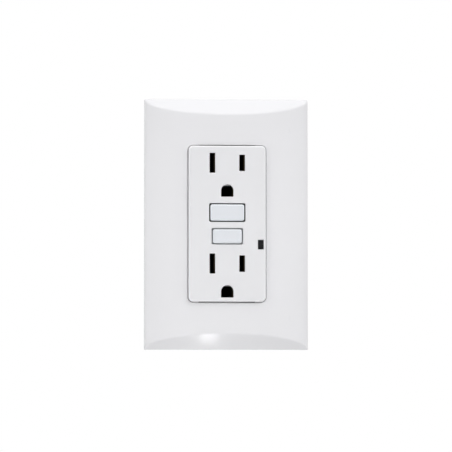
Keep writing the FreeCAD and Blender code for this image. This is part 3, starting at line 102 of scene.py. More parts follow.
def addBlock(name, x, y, z):
    clearSelection()
    low, high = (Vector(corner) * mm for corner in zip(x, y, z))
    bpy.ops.mesh.primitive_cube_add(size=1, location=(low + high) / 2)
    block = bpy.context.object
    block.scale = high - low
    return settle(block, name)


# spot is the two coordinates across the axis, in X, Y, Z order
def addRod(name, axis, spot, ends, radius, sides=40):
    centre = list(spot)
    centre.insert("xyz".index(axis), (ends[0] + ends[1]) / 2)
    clearSelection()
    bpy.ops.mesh.primitive_cylinder_add(
        vertices=sides, radius=radius * mm, depth=(ends[1] - ends[0]) * mm,
        location=Vector(centre) * mm, rotation=turnTo[axis])
    return settle(bpy.context.object, name)


# selects the faces, edges or vertices that pass a test, and stays in edit mode
def pick(piece, kind, test):
    makeActive(piece)
    bpy.ops.object.mode_set(mode="EDIT")
    bpy.ops.mesh.select_mode(type=kind)
    bpy.ops.mesh.select_all(action="DESELECT")
    cage = bmesh.from_edit_mesh(piece.data)
    cage.normal_update()
    for part in {"FACE": cage.faces, "EDGE": cage.edges, "VERT": cage.verts}[kind]:
        if test(part):
            part.select_set(True)
    bmesh.update_edit_mesh(piece.data)


def leaveEdit():
    bpy.ops.object.mode_set(mode="OBJECT")


# runs one edit tool on what passes the test
def edit(piece, kind, test, tool, **values):
    pick(piece, kind, test)
    tool(**values)
    leaveEdit()
    return piece


# what the tests ask of an edge or a face
def middleOf(edge):
    return (edge.verts[0].co + edge.verts[1].co) / 2 / mm


def turnOf(edge):
    return edge.calc_face_angle(0.0)


def everything(part):
    return True


def sharp(least=sharpTurn):
    return lambda edge: turnOf(edge) > least


def runsAlong(axis):
    return lambda edge: abs((edge.verts[1].co - edge.verts[0].co).normalized()["xyz".index(axis)]) > 0.9


def onLevel(axis, level):
    return lambda edge: abs(middleOf(edge)["xyz".index(axis)] - level) < planeRoom


def looksAlong(axis, way):
    return lambda face: face.normal["xyz".index(axis)] * way > 0.99


def allOf(*tests):
    return lambda part: all(test(part) for test in tests)


def bevelEdges(piece, test, width, segments=3, profile=0.5):
    return edit(piece, "EDGE", test, bpy.ops.mesh.bevel, offset=width * mm, segments=segments,
                profile=profile, affect="EDGES")


def extrudeBy(move):
    bpy.ops.mesh.extrude_region_move(TRANSFORM_OT_translate={"value": [part * mm for part in move]})


def extrudeFaces(piece, test, move):
    pick(piece, "FACE", test)
    extrudeBy(move)
    leaveEdit()


def resizeParts(piece, kind, test, factors, centre):
    return edit(piece, kind, test, bpy.ops.transform.resize, value=factors,
                center_override=Vector(centre) * mm)


def splitAt(piece, spot, normal, **values):
    return edit(piece, "FACE", everything, bpy.ops.mesh.bisect, plane_co=Vector(spot) * mm,
                plane_no=Vector(normal).normalized(), threshold=weldRoom, **values)


# cuts off what lies beyond a plane, and closes the cut
def trimBeyond(piece, spot, normal):
    return splitAt(piece, spot, normal, use_fill=True, clear_outer=True)


def turnOutwards(piece):
    return edit(piece, "FACE", everything, bpy.ops.mesh.normals_make_consistent, inside=False)


# sweeps a profile round Z, one pitch higher with each turn
def windUp(profile, pitch, turns, steps):
    sweep = profile.modifiers.new("sweep", "SCREW")
    sweep.angle = math.tau
    sweep.screw_offset = pitch * mm
    sweep.iterations = turns
    sweep.steps = sweep.render_steps = steps
    makeActive(profile)
    bpy.ops.object.modifier_apply(modifier=sweep.name)


def together(*parts):
    clearSelection()
    for part in parts:
        part.select_set(True)
    bpy.context.view_layer.objects.active = parts[0]
    bpy.ops.object.join()
    return parts[0]


def combine(piece, operation, tools):
    for tool in tools:
        makeActive(piece)
        change = piece.modifiers.new("combine", "BOOLEAN")
        change.operation = operation
        change.solver = "EXACT"
        change.object = tool
        bpy.ops.object.modifier_apply(modifier=change.name)
        discard(tool)
    return piece


def carve(piece, *tools):
    return combine(piece, "DIFFERENCE", tools)


def fuse(piece, *others):
    return combine(piece, "UNION", others)


# a block whose four edges along Y are rounded
def roundedBlock(name, x, y, z, corner, segments=6):
    return bevelEdges(addBlock(name, x, y, z), runsAlong("y"), corner, segments)


# shades, paints and places a finished piece; one without a finish keeps its materials
def dress(piece, body, finish, nodeName, angle=32, weighted=True):
    makeActive(piece)
    bpy.ops.object.shade_smooth_by_angle(angle=math.radians(angle))
    if weighted:
        normals = piece.modifiers.new("normals", "WEIGHTED_NORMAL")
        normals.keep_sharp = True
        normals.weight = 90
        bpy.ops.object.modifier_apply(modifier=normals.name)
    if finish:
        piece.data.materials.clear()
        piece.data.materials.append(finishes[finish])
    if body:
        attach(piece, body)
    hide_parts(nodeName)
    return piece


# camera, at the photograph's distance and angle
cameraView = {
    "azimuth": -4.6, "elevation": -3.0, "distance": 1500.0, "lens": 280.0, "aim": (-0.15, -3.0, -0.75),
}


# turns a lamp or the camera towards a point
def pointAt(item, way):
    item.rotation_mode = "QUATERNION"
    item.rotation_quaternion = way.to_track_quat("-Z", "Y")


def placeCamera():
    turn, lift = math.radians(cameraView["azimuth"]), math.radians(cameraView["elevation"])
    back = Vector((math.sin(turn) * math.cos(lift), -math.cos(turn) * math.cos(lift), math.sin(lift)))
    lens = bpy.data.cameras.new("camera")
    lens.lens = cameraView["lens"]
    lens.sensor_width = 36
    lens.clip_start = 0.01
    lens.clip_end = 20
    camera = bpy.data.objects.new("camera", lens)
    bpy.context.scene.collection.objects.link(camera)
    camera.location = (Vector(cameraView["aim"]) + back * cameraView["distance"]) * mm
    pointAt(camera, -back)
    bpy.context.scene.camera = camera


placeCamera()


# gives a node's inputs their values; a pair of a node and its output is a link
def feed(tree, node, inputs):
    for key, value in inputs.items():
        if isinstance(value, tuple) and isinstance(value[0], bpy.types.Node):
            tree.links.new(value[0].outputs[value[1]], node.inputs[key])
        else:
            node.inputs[key].default_value = value


def addNode(tree, kind, inputs, **settings):
    node = tree.nodes.new("ShaderNode" + kind)
    for key, value in settings.items():
        setattr(node, key, value)
    feed(tree, node, inputs)
    return node


def addMath(tree, operation, *terms):
    return addNode(tree, "Math", dict(enumerate(terms)), operation=operation)


def startMaterial(name="finish"):
    material = bpy.data.materials.new(name)
    material.use_nodes = True
    return material, material.node_tree, material.node_tree.nodes["Principled BSDF"]


# light and stage
white = (1.0, 1.0, 1.0)
studio = {
    "floorLevel": -420.0, "floorHalf": 6000.0, "floorTone": 0.55, "floorRoughness": 0.7,
    "floorSpecular": 0.1, "floorGlow": 0.62, "ambient": 0.515,
    "lamps": {
        # name: (place in mm, aim, width, height, spread in degrees, watts, tint, seen in gloss)
        "keyLamp": ((460, -640, 720), (0, 0, 0), 150, 150, 180, 3.0, white, False),
        "topLamp": ((-120, -120, 820), (0, 0, 20), 600, 400, 180, 2.7, white, False),
        "leftLamp": ((-900, -650, -60), (0, 0, 0), 500, 500, 180, 3.0, (1.0, 1.0, 0.99), False),
        "rightLamp": ((900, -420, -30), (0, 0, 0), 400, 400, 180, 1.3, white, False),
        "frontLamp": ((0, -650, -50), (0, 0, -2), 420, 60, 20, 0.014, white, False),
        "lowLamp": ((0, -220, -340), (0, 0, -40), 120, 60, 180, 0.16, (0.98, 0.985, 1.0), False),
        "glintLamp": ((-4.2, -23.9, -98.9), (-8.6, -6.9, -46.9), 3, 3, 180, 0.0029, white, True),
    },
}


# white to the camera and in reflections, and softer as light
def makeWorld():
    world = bpy.data.worlds.new("studioWorld")
    bpy.context.scene.world = world
    world.use_nodes = True
    tree = world.node_tree
    path = addNode(tree, "LightPath", {})
    direct = addMath(tree, "MAXIMUM", (path, "Is Camera Ray"), (path, "Is Glossy Ray"))
    seen = addMath(tree, "MAXIMUM", (direct, 0), (path, "Is Transmission Ray"))
    level = addNode(tree, "MapRange", {"Value": (seen, 0), "To Min": studio["ambient"], "To Max": 1.0})
    feed(tree, tree.nodes["Background"], {"Color": (1, 1, 1, 1), "Strength": (level, "Result")})


def addLamp(name, spot, aim, width, height, spread, watts, tint, glossy):
    light = bpy.data.lights.new(name, "AREA")
    light.shape = "RECTANGLE"
    light.size, light.size_y = width * mm, height * mm
    light.spread = math.radians(spread)
    light.energy = watts
    light.color = tint
    lamp = bpy.data.objects.new(name, light)
    bpy.context.scene.collection.objects.link(lamp)
    lamp.location = Vector(spot) * mm
    pointAt(lamp, Vector(aim) - Vector(spot))
    lamp.visible_glossy = glossy
    lamp.visible_camera = False


def makeFloor():
    material, tree, base = startMaterial("paleFloor")
    tone = studio["floorTone"]
    feed(tree, base, {"Base Color": (tone, tone, tone, 1), "Roughness": studio["floorRoughness"],
                      "Specular IOR Level": studio["floorSpecular"]})
    path = addNode(tree, "LightPath", {})
    seen = addMath(tree, "MAXIMUM", (path, "Is Camera Ray"), (path, "Is Glossy Ray"))
    amount = addMath(tree, "MULTIPLY", (seen, 0), studio["floorGlow"])
    glow = addNode(tree, "Emission", {"Strength": (amount, 0)})
    lit = addNode(tree, "AddShader", {0: (base, 0), 1: (glow, 0)})
    # seen from below, the floor doesn't hide the object
    side = addNode(tree, "NewGeometry", {})
    clear = addNode(tree, "BsdfTransparent", {})
    oneWay = addNode(tree, "MixShader", {"Fac": (side, "Backfacing"), 1: (lit, 0), 2: (clear, 0)})
    feed(tree, tree.nodes["Material Output"], {"Surface": (oneWay, 0)})
    clearSelection()
    bpy.ops.mesh.primitive_plane_add(size=studio["floorHalf"] * 2 * mm,
                                     location=(0, 0, studio["floorLevel"] * mm))
    floor = settle(bpy.context.object, "floor")
    floor.data.materials.append(material)


bpy.context.scene.view_settings.view_transform = "Standard"
makeWorld()
for name, values in studio["lamps"].items():
    addLamp(name, *values)
makeFloor()
print("camera and studio ready")

# shader groups that several materials share
socketKinds = {1: "NodeSocketFloat", 3: "NodeSocketVector", 4: "NodeSocketColor"}
surfaceOutputs = {"Colour": 4, "Roughness": 1, "Normal": 3}


# inputs are given with their first values, outputs with how many numbers they hold
def startGroup(name, inputs, outputs):
    group = bpy.data.node_groups.new(name, "ShaderNodeTree")
    for label, value in inputs.items():
        size = len(value) if isinstance(value, tuple) else 1
        socket = group.interface.new_socket(name=label, in_out="INPUT", socket_type=socketKinds[size])
        socket.default_value = value
    for label, size in outputs.items():
        group.interface.new_socket(name=label, in_out="OUTPUT", socket_type=socketKinds[size])
    return group, group.nodes.new("NodeGroupInput"), group.nodes.new("NodeGroupOutput")


# roughness spreads with one noise, and another gives the skin its relief
def finishGroup(group, entry, leaving, colour, lift, skin, strength):
    gloss = addMath(group, "MULTIPLY_ADD", (lift, 0), (entry, "Spread"), (entry, "Roughness"))
    bump = addNode(group, "Bump", {"Strength": strength, "Distance": (entry, "Relief"),
                                   "Height": (skin, "Fac")})
    feed(group, leaving, {"Colour": colour, "Roughness": (gloss, 0), "Normal": (bump, "Normal")})
    return group


# pale moulded plastic: faint clouding, painted highlights on rounded edges and a fine skin
def makeMouldedGroup():
    group, entry, leaving = startGroup("mouldedPlastic", {
        "Colour": (0.8, 0.8, 0.8, 1), "Cloud": 0.03, "Grain Scale": 2500.0, "Roughness": 0.3,
        "Spread": 0.05, "Relief": 0.00001, "Painted Edge Highlight": 0.0}, surfaceOutputs)
    place = addNode(group, "TexCoord", {})
    cloud = addNode(group, "TexNoise", {"Vector": (place, "Object"), "Scale": 38.0, "Detail": 3.0})
    grain = addNode(group, "TexNoise", {"Vector": (place, "Object"), "Scale": (entry, "Grain Scale"),
                                        "Detail": 2.0})
    lift = addMath(group, "SUBTRACT", (cloud, "Fac"), 0.5)
    # painted highlight: rounded edges are lightened where the surface is turned half way off the front
    facing = addNode(group, "SeparateXYZ", {0: (place, "Normal")})
    turned = addMath(group, "ABSOLUTE", (facing, "Y"))
    rest = addMath(group, "SUBTRACT", 1.0, (turned, 0))
    rounded = addMath(group, "MULTIPLY", (turned, 0), (rest, 0))
    edgeHighlight = addMath(group, "MULTIPLY_ADD", (rounded, 0), (entry, "Painted Edge Highlight"), 1.0)
    amount = addMath(group, "MULTIPLY_ADD", (lift, 0), (entry, "Cloud"), (edgeHighlight, 0))
    tint = addNode(group, "VectorMath", {0: (entry, "Colour"), "Scale": (amount, 0)}, operation="SCALE")
    return finishGroup(group, entry, leaving, (tint, "Vector"), lift, grain, 0.6)


# metal: streaks along one axis and clouds of tarnish
def makeMetalGroup():
    group, entry, leaving = startGroup("workedMetal", {
        "Colour": (0.6, 0.6, 0.6, 1), "Tarnish": (0.3, 0.3, 0.3, 1), "Tarnish Amount": 0.3,
        "Stretch": (1, 1, 1), "Roughness": 0.3, "Spread": 0.2, "Relief": 0.00002}, surfaceOutputs)
    place = addNode(group, "TexCoord", {})
    stretch = addNode(group, "VectorMath", {0: (place, "Object"), 1: (entry, "Stretch")},
                      operation="MULTIPLY")
    streak = addNode(group, "TexNoise", {"Vector": (stretch, "Vector"), "Scale": 900.0, "Detail": 4.0})
    cloud = addNode(group, "TexNoise", {"Vector": (place, "Object"), "Scale": 160.0, "Detail": 5.0,
                                        "Roughness": 0.65})
    stain = addNode(group, "MapRange", {"Value": (cloud, "Fac"), "From Min": 0.45, "From Max": 0.75})
    share = addMath(group, "MULTIPLY", (stain, "Result"), (entry, "Tarnish Amount"))
    tint = addNode(group, "Mix", {"Factor": (share, 0), "A": (entry, "Colour"),
                                  "B": (entry, "Tarnish")}, data_type="RGBA")
    lift = addMath(group, "SUBTRACT", (streak, "Fac"), 0.5)
    return finishGroup(group, entry, leaving, (tint, "Result"), lift, streak, 0.5)


# painted shade: a narrow opening is darkened inside with depth, within a half width of the middle, to
# stand in for the shade there
def makePaintedRecessShadeGroup():
    group, entry, leaving = startGroup("paintedRecessShade", {
        "Colour": (0.8, 0.8, 0.8, 1), "Painted Shade Colour": (0.1, 0.1, 0.1, 1), "Start": -0.008, "End": -0.007,
        "Half Width": 0.012}, {"Colour": 4})
    place = addNode(group, "TexCoord", {})
    parts = addNode(group, "SeparateXYZ", {0: (place, "Object")})
    depth = addNode(group, "MapRange", {"Value": (parts, "Y"), "From Min": (entry, "Start"),
                                        "From Max": (entry, "End")}, interpolation_type="SMOOTHSTEP")
    side = addMath(group, "ABSOLUTE", (parts, "X"))
    within = addMath(group, "LESS_THAN", (side, 0), (entry, "Half Width"))
    share = addMath(group, "MULTIPLY", (depth, "Result"), (within, 0))
    mix = addNode(group, "Mix", {"Factor": (share, 0), "A": (entry, "Colour"),
                                 "B": (entry, "Painted Shade Colour")}, data_type="RGBA")
    feed(group, leaving, {"Colour": (mix, "Result")})
    return group


mouldedPlastic = makeMouldedGroup()
workedMetal = makeMetalGroup()
paintedRecessShade = makePaintedRecessShadeGroup()


# a material that takes its colour, roughness and skin from a group with values of its own
def groupMaterial(group, values):
    material, tree, shade = startMaterial()
    node = addNode(tree, "Group", values, node_tree=group)
    feed(tree, shade, {"Base Color": (node, "Colour"), "Roughness": (node, "Roughness"),
                       "Normal": (node, "Normal")})
    return material, tree, shade, node


def plasticMaterial(colour, roughness, cloud=0.03, grainScale=2500.0, relief=0.00001, coat=0.0,
                    specular=0.5, paintedEdgeHighlight=0.0, recess=None):
    material, tree, shade, group = groupMaterial(mouldedPlastic, {
        "Colour": (*colour, 1), "Cloud": cloud, "Grain Scale": grainScale, "Roughness": roughness,
        "Spread": 0.06, "Relief": relief, "Painted Edge Highlight": paintedEdgeHighlight})
    # painted shade: the inside of the openings goes dark with depth
    if recess:
        deep, start, end, halfWidth = recess
        recessShade = addNode(tree, "Group", {
            "Colour": (group, "Colour"), "Painted Shade Colour": (deep, deep, deep, 1), "Start": start * mm,
            "End": end * mm, "Half Width": halfWidth * mm}, node_tree=paintedRecessShade)
        feed(tree, shade, {"Base Color": (recessShade, "Colour")})
    feed(tree, shade, {"Coat Weight": coat, "Coat Roughness": 0.08, "Specular IOR Level": specular})
    return material


def metalMaterial(colour, tarnish, roughness, amount=0.35, stretch=(1, 1, 1)):
    material, tree, shade, group = groupMaterial(workedMetal, {
        "Colour": (*colour, 1), "Tarnish": (*tarnish, 1), "Tarnish Amount": amount, "Stretch": stretch,
        "Roughness": roughness, "Spread": 0.25})
    feed(tree, shade, {"Metallic": 1.0})
    return material


# lays a second colour over a group's, where a mask says
def paintOver(tree, shade, group, mask, colour):
    mix = addNode(tree, "Mix", {"Factor": mask, "A": (group, "Colour"), "B": (*colour, 1)},
                  data_type="RGBA")
    feed(tree, shade, {"Base Color": (mix, "Result")})


# a dipped part with a band round it, set off from the middle of its row
def bandedMaterial(colour, band, middle, offset, halfWidth=0.35):
    material, tree, shade, group = groupMaterial(mouldedPlastic, {
        "Colour": (*colour, 1), "Cloud": 0.1, "Roughness": 0.35, "Spread": 0.1})
    place = addNode(tree, "TexCoord", {})
    parts = addNode(tree, "SeparateXYZ", {0: (place, "Object")})
    away = addMath(tree, "SUBTRACT", (parts, "X"), (middle + offset) * mm)
    distance = addMath(tree, "ABSOLUTE", (away, 0))
    within = addMath(tree, "LESS_THAN", (distance, 0), halfWidth * mm)
    paintOver(tree, shade, group, (within, 0), band)
    return material


# glass-fibre board: green mask over copper tracks
def boardMaterial(colour, tracks):
    material, tree, shade, group = groupMaterial(mouldedPlastic, {
        "Colour": (*colour, 1), "Cloud": 0.2, "Roughness": 0.3, "Spread": 0.1})
    place = addNode(tree, "TexCoord", {})
    upright = addNode(tree, "Mapping", {"Vector": (place, "Object"), "Rotation": (quarterTurn, 0, 0)})
    lines = addNode(tree, "TexBrick", {
        "Vector": (upright, "Vector"), "Scale": 220.0, "Mortar Size": 0.05, "Brick Width": 1.3,
        "Row Height": 0.6})
    paintOver(tree, shade, group, (lines, "Fac"), tracks)
    return material


rolled = {"stretch": (1, 1, 0.1)}
finishes = {
    # recess: tone of the painted shade inside the openings, depth where it starts, where it ends, half
    # width
    "plateWhite": plasticMaterial((0.778, 0.776, 0.796), 0.20, coat=0.25, relief=0.000004),
    # the face and buttons take a painted highlight on rounded edges, besides the painted shade in their
    # openings
    "faceWhite": plasticMaterial((0.764, 0.764, 0.782), 0.36, relief=0.000006, paintedEdgeHighlight=0.9,
                                 recess=(0.06, -8.0, -7.3, 12.0)),
    "buttonWhite": plasticMaterial((0.724, 0.748, 0.785), 0.30, relief=0.000004, paintedEdgeHighlight=1.0,
                                   recess=(0.06, -6.6, -6.0, 12.0)),
    "frameWhite": plasticMaterial((0.70, 0.69, 0.66), 0.5, cloud=0.08, relief=0.00002),
    "bodyGrey": plasticMaterial((0.055, 0.058, 0.062), 0.5, cloud=0.25, grainScale=1800,
                                relief=0.00003),
    "bodyBlue": plasticMaterial((0.10, 0.13, 0.17), 0.46, cloud=0.2, grainScale=1800, relief=0.00003),
    "nylonBlack": plasticMaterial((0.018, 0.018, 0.019), 0.42, cloud=0.3, relief=0.00002),
    "fibreRed": plasticMaterial((0.30, 0.06, 0.04), 0.7, cloud=0.4, relief=0.00003),
    "smokedLens": plasticMaterial((0.007, 0.007, 0.008), 0.25, cloud=0.2, specular=0.18,
                                  relief=0.000003),
    # colour, tarnish, roughness
    "zincSteel": metalMaterial((0.62, 0.63, 0.64), (0.42, 0.43, 0.45), 0.34, stretch=(1, 1, 0.08)),
    "screwSteel": metalMaterial((0.60, 0.60, 0.60), (0.33, 0.32, 0.31), 0.3),
    "springSteel": metalMaterial((0.50, 0.50, 0.51), (0.25, 0.25, 0.26), 0.26),
    "brass": metalMaterial((0.78, 0.55, 0.24), (0.42, 0.26, 0.10), 0.28, **rolled),
    "nickel": metalMaterial((0.66, 0.64, 0.60), (0.42, 0.40, 0.36), 0.25),
    # brass darkened far below its own tone: painted shade for the contacts seen deep in the slots
    "brassInPaintedShade": metalMaterial((0.07, 0.05, 0.026), (0.035, 0.025, 0.016), 0.6, amount=0.8, **rolled),
    "enamelCopper": metalMaterial((0.62, 0.24, 0.10), (0.40, 0.13, 0.05), 0.22),
    "greenScrew": metalMaterial((0.06, 0.27, 0.10), (0.02, 0.12, 0.05), 0.34),
    "ferriteGrey": plasticMaterial((0.035, 0.035, 0.037), 0.6, cloud=0.4, relief=0.00003),
    "chipBlack": plasticMaterial((0.02, 0.02, 0.021), 0.5, cloud=0.3, relief=0.00002),
    "sleeveBlack": plasticMaterial((0.015, 0.016, 0.02), 0.3, cloud=0.3),
    "varistorBlue": plasticMaterial((0.03, 0.09, 0.30), 0.3, cloud=0.3, coat=0.4),
    "lampRed": plasticMaterial((0.60, 0.05, 0.03), 0.12, cloud=0.1, coat=0.5),
    "bandedTan": bandedMaterial((0.62, 0.42, 0.22), (0.30, 0.05, 0.02), 14.4, 0.9),
    "bandedBlack": bandedMaterial((0.02, 0.02, 0.022), (0.45, 0.45, 0.46), -14.4, 1.6),
    "boardGreen": boardMaterial((0.012, 0.11, 0.035), (0.035, 0.22, 0.07)),
}
for name, material in finishes.items():
    material.name = name
print("materials ready:", len(finishes))

# wall plate: a crowned shell with slanted ends, plugged on the frame behind it
plateForm = {
    "halfWidth": 35.0, "halfHeight": 53.5, "rim": 1.8, "crown": 5.2, "slant": 6.8, "wall": 1.8,
    "sides": 168, "ridge": 0.6, "rimEdge": 0.15,
    "openingHalf": (16.75, 33.5), "openingCorner": 2.25, "openingEdge": 0.3, "openingFront": -5.5,
    "collar": 1.6, "collarSpan": (-4.9, -3.6), "collarCorner": 3.8,
    "posts": (24.85, 40.0), "postSpan": (-5.2, -2.52), "postRadius": 2.2,
    "plugRear": -1.32, "plugRadius": 1.4, "plugTip": 0.25, "openingSpan": (-12, 3), "cornerRoom": 0.1,
}


# level is where the crown starts, rear the back face, bend where the slanted ends start
def makeCrownedBar(name, halfWidth, crown, level, rear, top, slope, bend):
    clearSelection()
    bpy.ops.mesh.primitive_cylinder_add(vertices=plateForm["sides"], radius=halfWidth * mm,
                                        depth=top * 2 * mm, location=(0, level * mm, 0))
    bar = bpy.context.object
    bar.scale = (1, crown / halfWidth, 1)
    settle(bar, name)
    trimBeyond(bar, (0, level, 0), (0, 1, 0))
    extrudeFaces(bar, looksAlong("y", 1), (0, rear - level, 0))
    for end in (1, -1):
        trimBeyond(bar, (0, bend, top * end), (0, -slope, end))
    return bar


def makeWallPlate(form):
    slope = form["slant"] / form["crown"]
    level, wall = -form["rim"], form["wall"]
    halfWidth, halfHeight = form["halfWidth"], form["halfHeight"]
    plate = makeCrownedBar("wallPlate", halfWidth, form["crown"], level, 0, halfHeight, slope, level)

    def onRidge(edge):
        return middleOf(edge).y < level - planeRoom

    def atEnd(edge):
        return abs(middleOf(edge).z) > halfHeight - form["cornerRoom"]

    def atSide(edge):
        return abs(middleOf(edge).x) > halfWidth - form["cornerRoom"] and middleOf(edge).y > level

    # rounded ridges where the crown meets the slanted ends, and softer edges round the rim
    bevelEdges(plate, allOf(sharp(slightTurn), onRidge), form["ridge"], 4)
    # the crease goes first: the other way round, its bevel folds over
    bevelEdges(plate, allOf(sharp(slightTurn), runsAlong("x"), onLevel("y", level), atEnd),
               form["rimEdge"], 2)
    bevelEdges(plate, allOf(sharp(slightTurn), runsAlong("y"), atSide), form["rimEdge"], 2)
    bevelEdges(plate, allOf(sharp(), onLevel("y", 0)), form["rimEdge"], 1)

    # the inside has the same slant, one wall further in
    bend = level + wall * (math.sqrt(slope * slope + 1) - 1) / slope
    carve(plate, makeCrownedBar("plateInside", halfWidth - wall, form["crown"], level + wall, past,
                                halfHeight - wall, slope, bend))

    openX, openZ = form["openingHalf"]
    fuse(plate, roundedBlock("plateCollar", across(openX + form["collar"]), form["collarSpan"],
                             across(openZ + form["collar"]), form["collarCorner"]))
    for side, end in corners:
        spot = (form["posts"][0] * side, form["posts"][1] * end)
        post = addRod("platePost", "y", spot, form["postSpan"], form["postRadius"])
        plug = addRod("platePlug", "y", spot, (form["postSpan"][1] - past, form["plugRear"]),
                      form["plugRadius"])
        fuse(plate, fuse(post, bevelEdges(plug, sharp(), form["plugTip"], 2)))
    carve(plate, roundedBlock("plateOpening", across(openX), form["openingSpan"], across(openZ),
                              form["openingCorner"], 8))

    def onOpening(edge):
        spot = middleOf(edge)
        within = abs(spot.x) < openX + planeRoom and abs(spot.z) < openZ + planeRoom
        return within and spot.y < form["openingFront"]
    return bevelEdges(plate, allOf(sharp(), onOpening), form["openingEdge"], 3)


wallPlate = dress(makeWallPlate(plateForm), "plate", "plateWhite", "wall_plate",
                  angle=40)
print("wall plate ready:", len(wallPlate.data.polygons), "faces")

# face of the receptacle: one moulding with its slots, ground holes and button openings
faceForm = {
    "half": (16.5, 33.25), "front": -8.2, "corner": 2.0, "edge": 0.8, "wall": 1.8, "sideWall": 1.6,
    "insideEdge": 0.5, "rear": 2,
    "shoulderHalf": (21.0, 35.3), "shoulder": (-3.3, 0.3), "shoulderCorner": 3.0, "shoulderEdge": 0.5,
    "trayHalf": (19.2, 33.5), "traySpan": (-1.5, 4), "strapHalf": 17.3, "notchReach": 2,
    "rimEdge": 0.3,
    "slotSide": 6.35, "slotWidth": 2.4, "slotCorner": 0.2, "slots": (25.9, -17.0),
    "hotSlot": 7.0, "neutralSlot": 8.5,
    "grounds": (14.05, -28.85), "groundRadius": 2.65, "groundFlat": 2.6, "groundCorner": 0.25,
    # width, tall, height
    "buttonOpenings": ((15.5, 8.0, 4.7), (13.4, 7.0, -5.4)), "openingCorner": 0.7,
    "lensOpening": (2.5, 4.1), "lensSpot": (14.3, -8.9), "lensEdge": 0.12,
    "screws": (16.6, 30.9), "screwRadius": 1.3, "screwFront": -2.9,
}


# widens the front end of a cutter, so that the hole it leaves has a rounded rim
def flareFront(cutter, centre, size, level, radius, steps=4, lead=1.5):
    pick(cutter, "FACE", looksAlong("y", -1))
    before, reached = size, 0.0
    for step in range(1, steps + 1):
        angle = quarterTurn * step / steps
        rise, spread = radius * math.sin(angle), radius * (1 - math.cos(angle))
        extrudeBy((0, reached - rise, 0))
        after = (size[0] + 2 * spread, size[1] + 2 * spread)
        bpy.ops.transform.resize(value=(after[0] / before[0], 1, after[1] / before[1]),
                                 center_override=Vector((centre[0], level, centre[1])) * mm)
        before, reached = after, rise
    extrudeBy((0, -lead, 0))
    leaveEdit()
    return cutter


# a hole with a round top and a flat foot
def addGroundCutter(height, form, depth):
    cutter = addRod("groundHole", "y", (0, height), depth, form["groundRadius"], 64)
    trimBeyond(cutter, (0, 0, height), (0, 0, -1))
    extrudeFaces(cutter, looksAlong("z", -1), (0, 0, -form["groundFlat"]))
    return bevelEdges(cutter, allOf(runsAlong("y"), sharp()), form["groundCorner"], 3)


def makeFaceCover(form):
    halfX, halfZ = form["half"]
    sideX, sideZ = form["shoulderHalf"]
    front, rim, rear = form["front"], form["rimEdge"], form["rear"]
    face = roundedBlock("faceCover", across(halfX), (front, form["traySpan"][0]), across(halfZ),
                        form["corner"], 10)
    bevelEdges(face, onLevel("y", front), form["edge"], 5)
    shoulder = roundedBlock("faceShoulder", across(sideX), form["shoulder"], across(sideZ),
                            form["shoulderCorner"], 10)
    bevelEdges(shoulder, onLevel("y", form["shoulder"][0]), form["shoulderEdge"], 3)
    fuse(face, shoulder)
    inside = front + form["wall"]
    hollow = addBlock("faceHollow", across(halfX - form["sideWall"]), (inside, form["traySpan"][1]),
                      across(halfZ - form["sideWall"]))
    bevelEdges(hollow, onLevel("y", inside), form["insideEdge"], 2)
    tray = addBlock("faceTray", across(form["trayHalf"][0]), form["traySpan"],
                    across(form["trayHalf"][1]))
    notch = addBlock("strapNotch", across(form["strapHalf"]), form["traySpan"],
                     across(sideZ + form["notchReach"]))
    carve(face, hollow, tray, notch)

    depth = (front + rim, rear)
    for height in form["slots"]:
        for side, length in ((1, form["hotSlot"]), (-1, form["neutralSlot"])):
            x, width = form["slotSide"] * side, form["slotWidth"]
            slot = roundedBlock("bladeSlot", span(x, width), depth, span(height, length),
                                form["slotCorner"], 2)
            carve(face, flareFront(slot, (x, height), (width, length), depth[0], rim))
    radius, flat = form["groundRadius"], form["groundFlat"]
    for height in form["grounds"]:
        centre = (0, height + (radius - flat) / 2)
        hole = addGroundCutter(height, form, depth)
        carve(face, flareFront(hole, centre, (radius * 2, radius + flat), depth[0], rim))
    for width, tall, height in form["buttonOpenings"]:
        hole = roundedBlock("buttonOpening", span(0, width), depth, span(height, tall),
                            form["openingCorner"], 4)
        carve(face, flareFront(hole, (0, height), (width, tall), depth[0], rim))
    side, height = form["lensSpot"]
    width, tall = form["lensOpening"]
    depth = (front + form["lensEdge"], rear)
    hole = addBlock("lensOpening", span(side, width), depth, span(height, tall))
    carve(face, flareFront(hole, (side, height), (width, tall), depth[0], form["lensEdge"], 2))
    for side, end in corners:
        spot = (form["screws"][0] * side, form["screws"][1] * end)
        carve(face, addRod("screwHole", "y", spot, (form["screwFront"], rear), form["screwRadius"], 24))
    return face


faceCover = dress(makeFaceCover(faceForm), "device", "faceWhite", "face_cover", angle=40)
print("face cover ready:", len(faceCover.data.polygons), "faces")

# push buttons: rounded caps with a flange that the face holds back
buttonForm = {
    # height, width, tall, rear of the cap
    "resetButton": (4.7, 14.4, 6.9, -3.8), "testButton": (-5.4, 12.3, 5.9, -5.35),
    "front": -8.7, "edge": 0.6, "corner": 0.8,
    "flange": 2.0, "flangeThick": 1.0, "flangeCorner": 0.9, "flangeEdge": 0.25,
    "socketSpan": (-6.7, 0), "socketRadius": 1.55,
    "postSpan": (-6.0, -0.95), "postRadius": 1.2, "postEdge": 0.2,
}


def makeButton(name, form):
    height, width, tall, rear = form[name]
    front, step = form["front"], rear - form["flangeThick"]
    cap = roundedBlock(name, span(0, width), (front, rear), span(height, tall), form["corner"], 5)
    bevelEdges(cap, onLevel("y", front), form["edge"], 5)
    skirt = roundedBlock(name + "Flange", span(0, width + form["flange"]), (step, rear),
                         span(height, tall + form["flange"]), form["flangeCorner"], 3)
    return fuse(cap, bevelEdges(skirt, onLevel("y", step), form["flangeEdge"], 2))


def makeButtonRod(name, button, ends, radius):
    return addRod(name, "y", (0, buttonForm[button][0]), ends, radius)


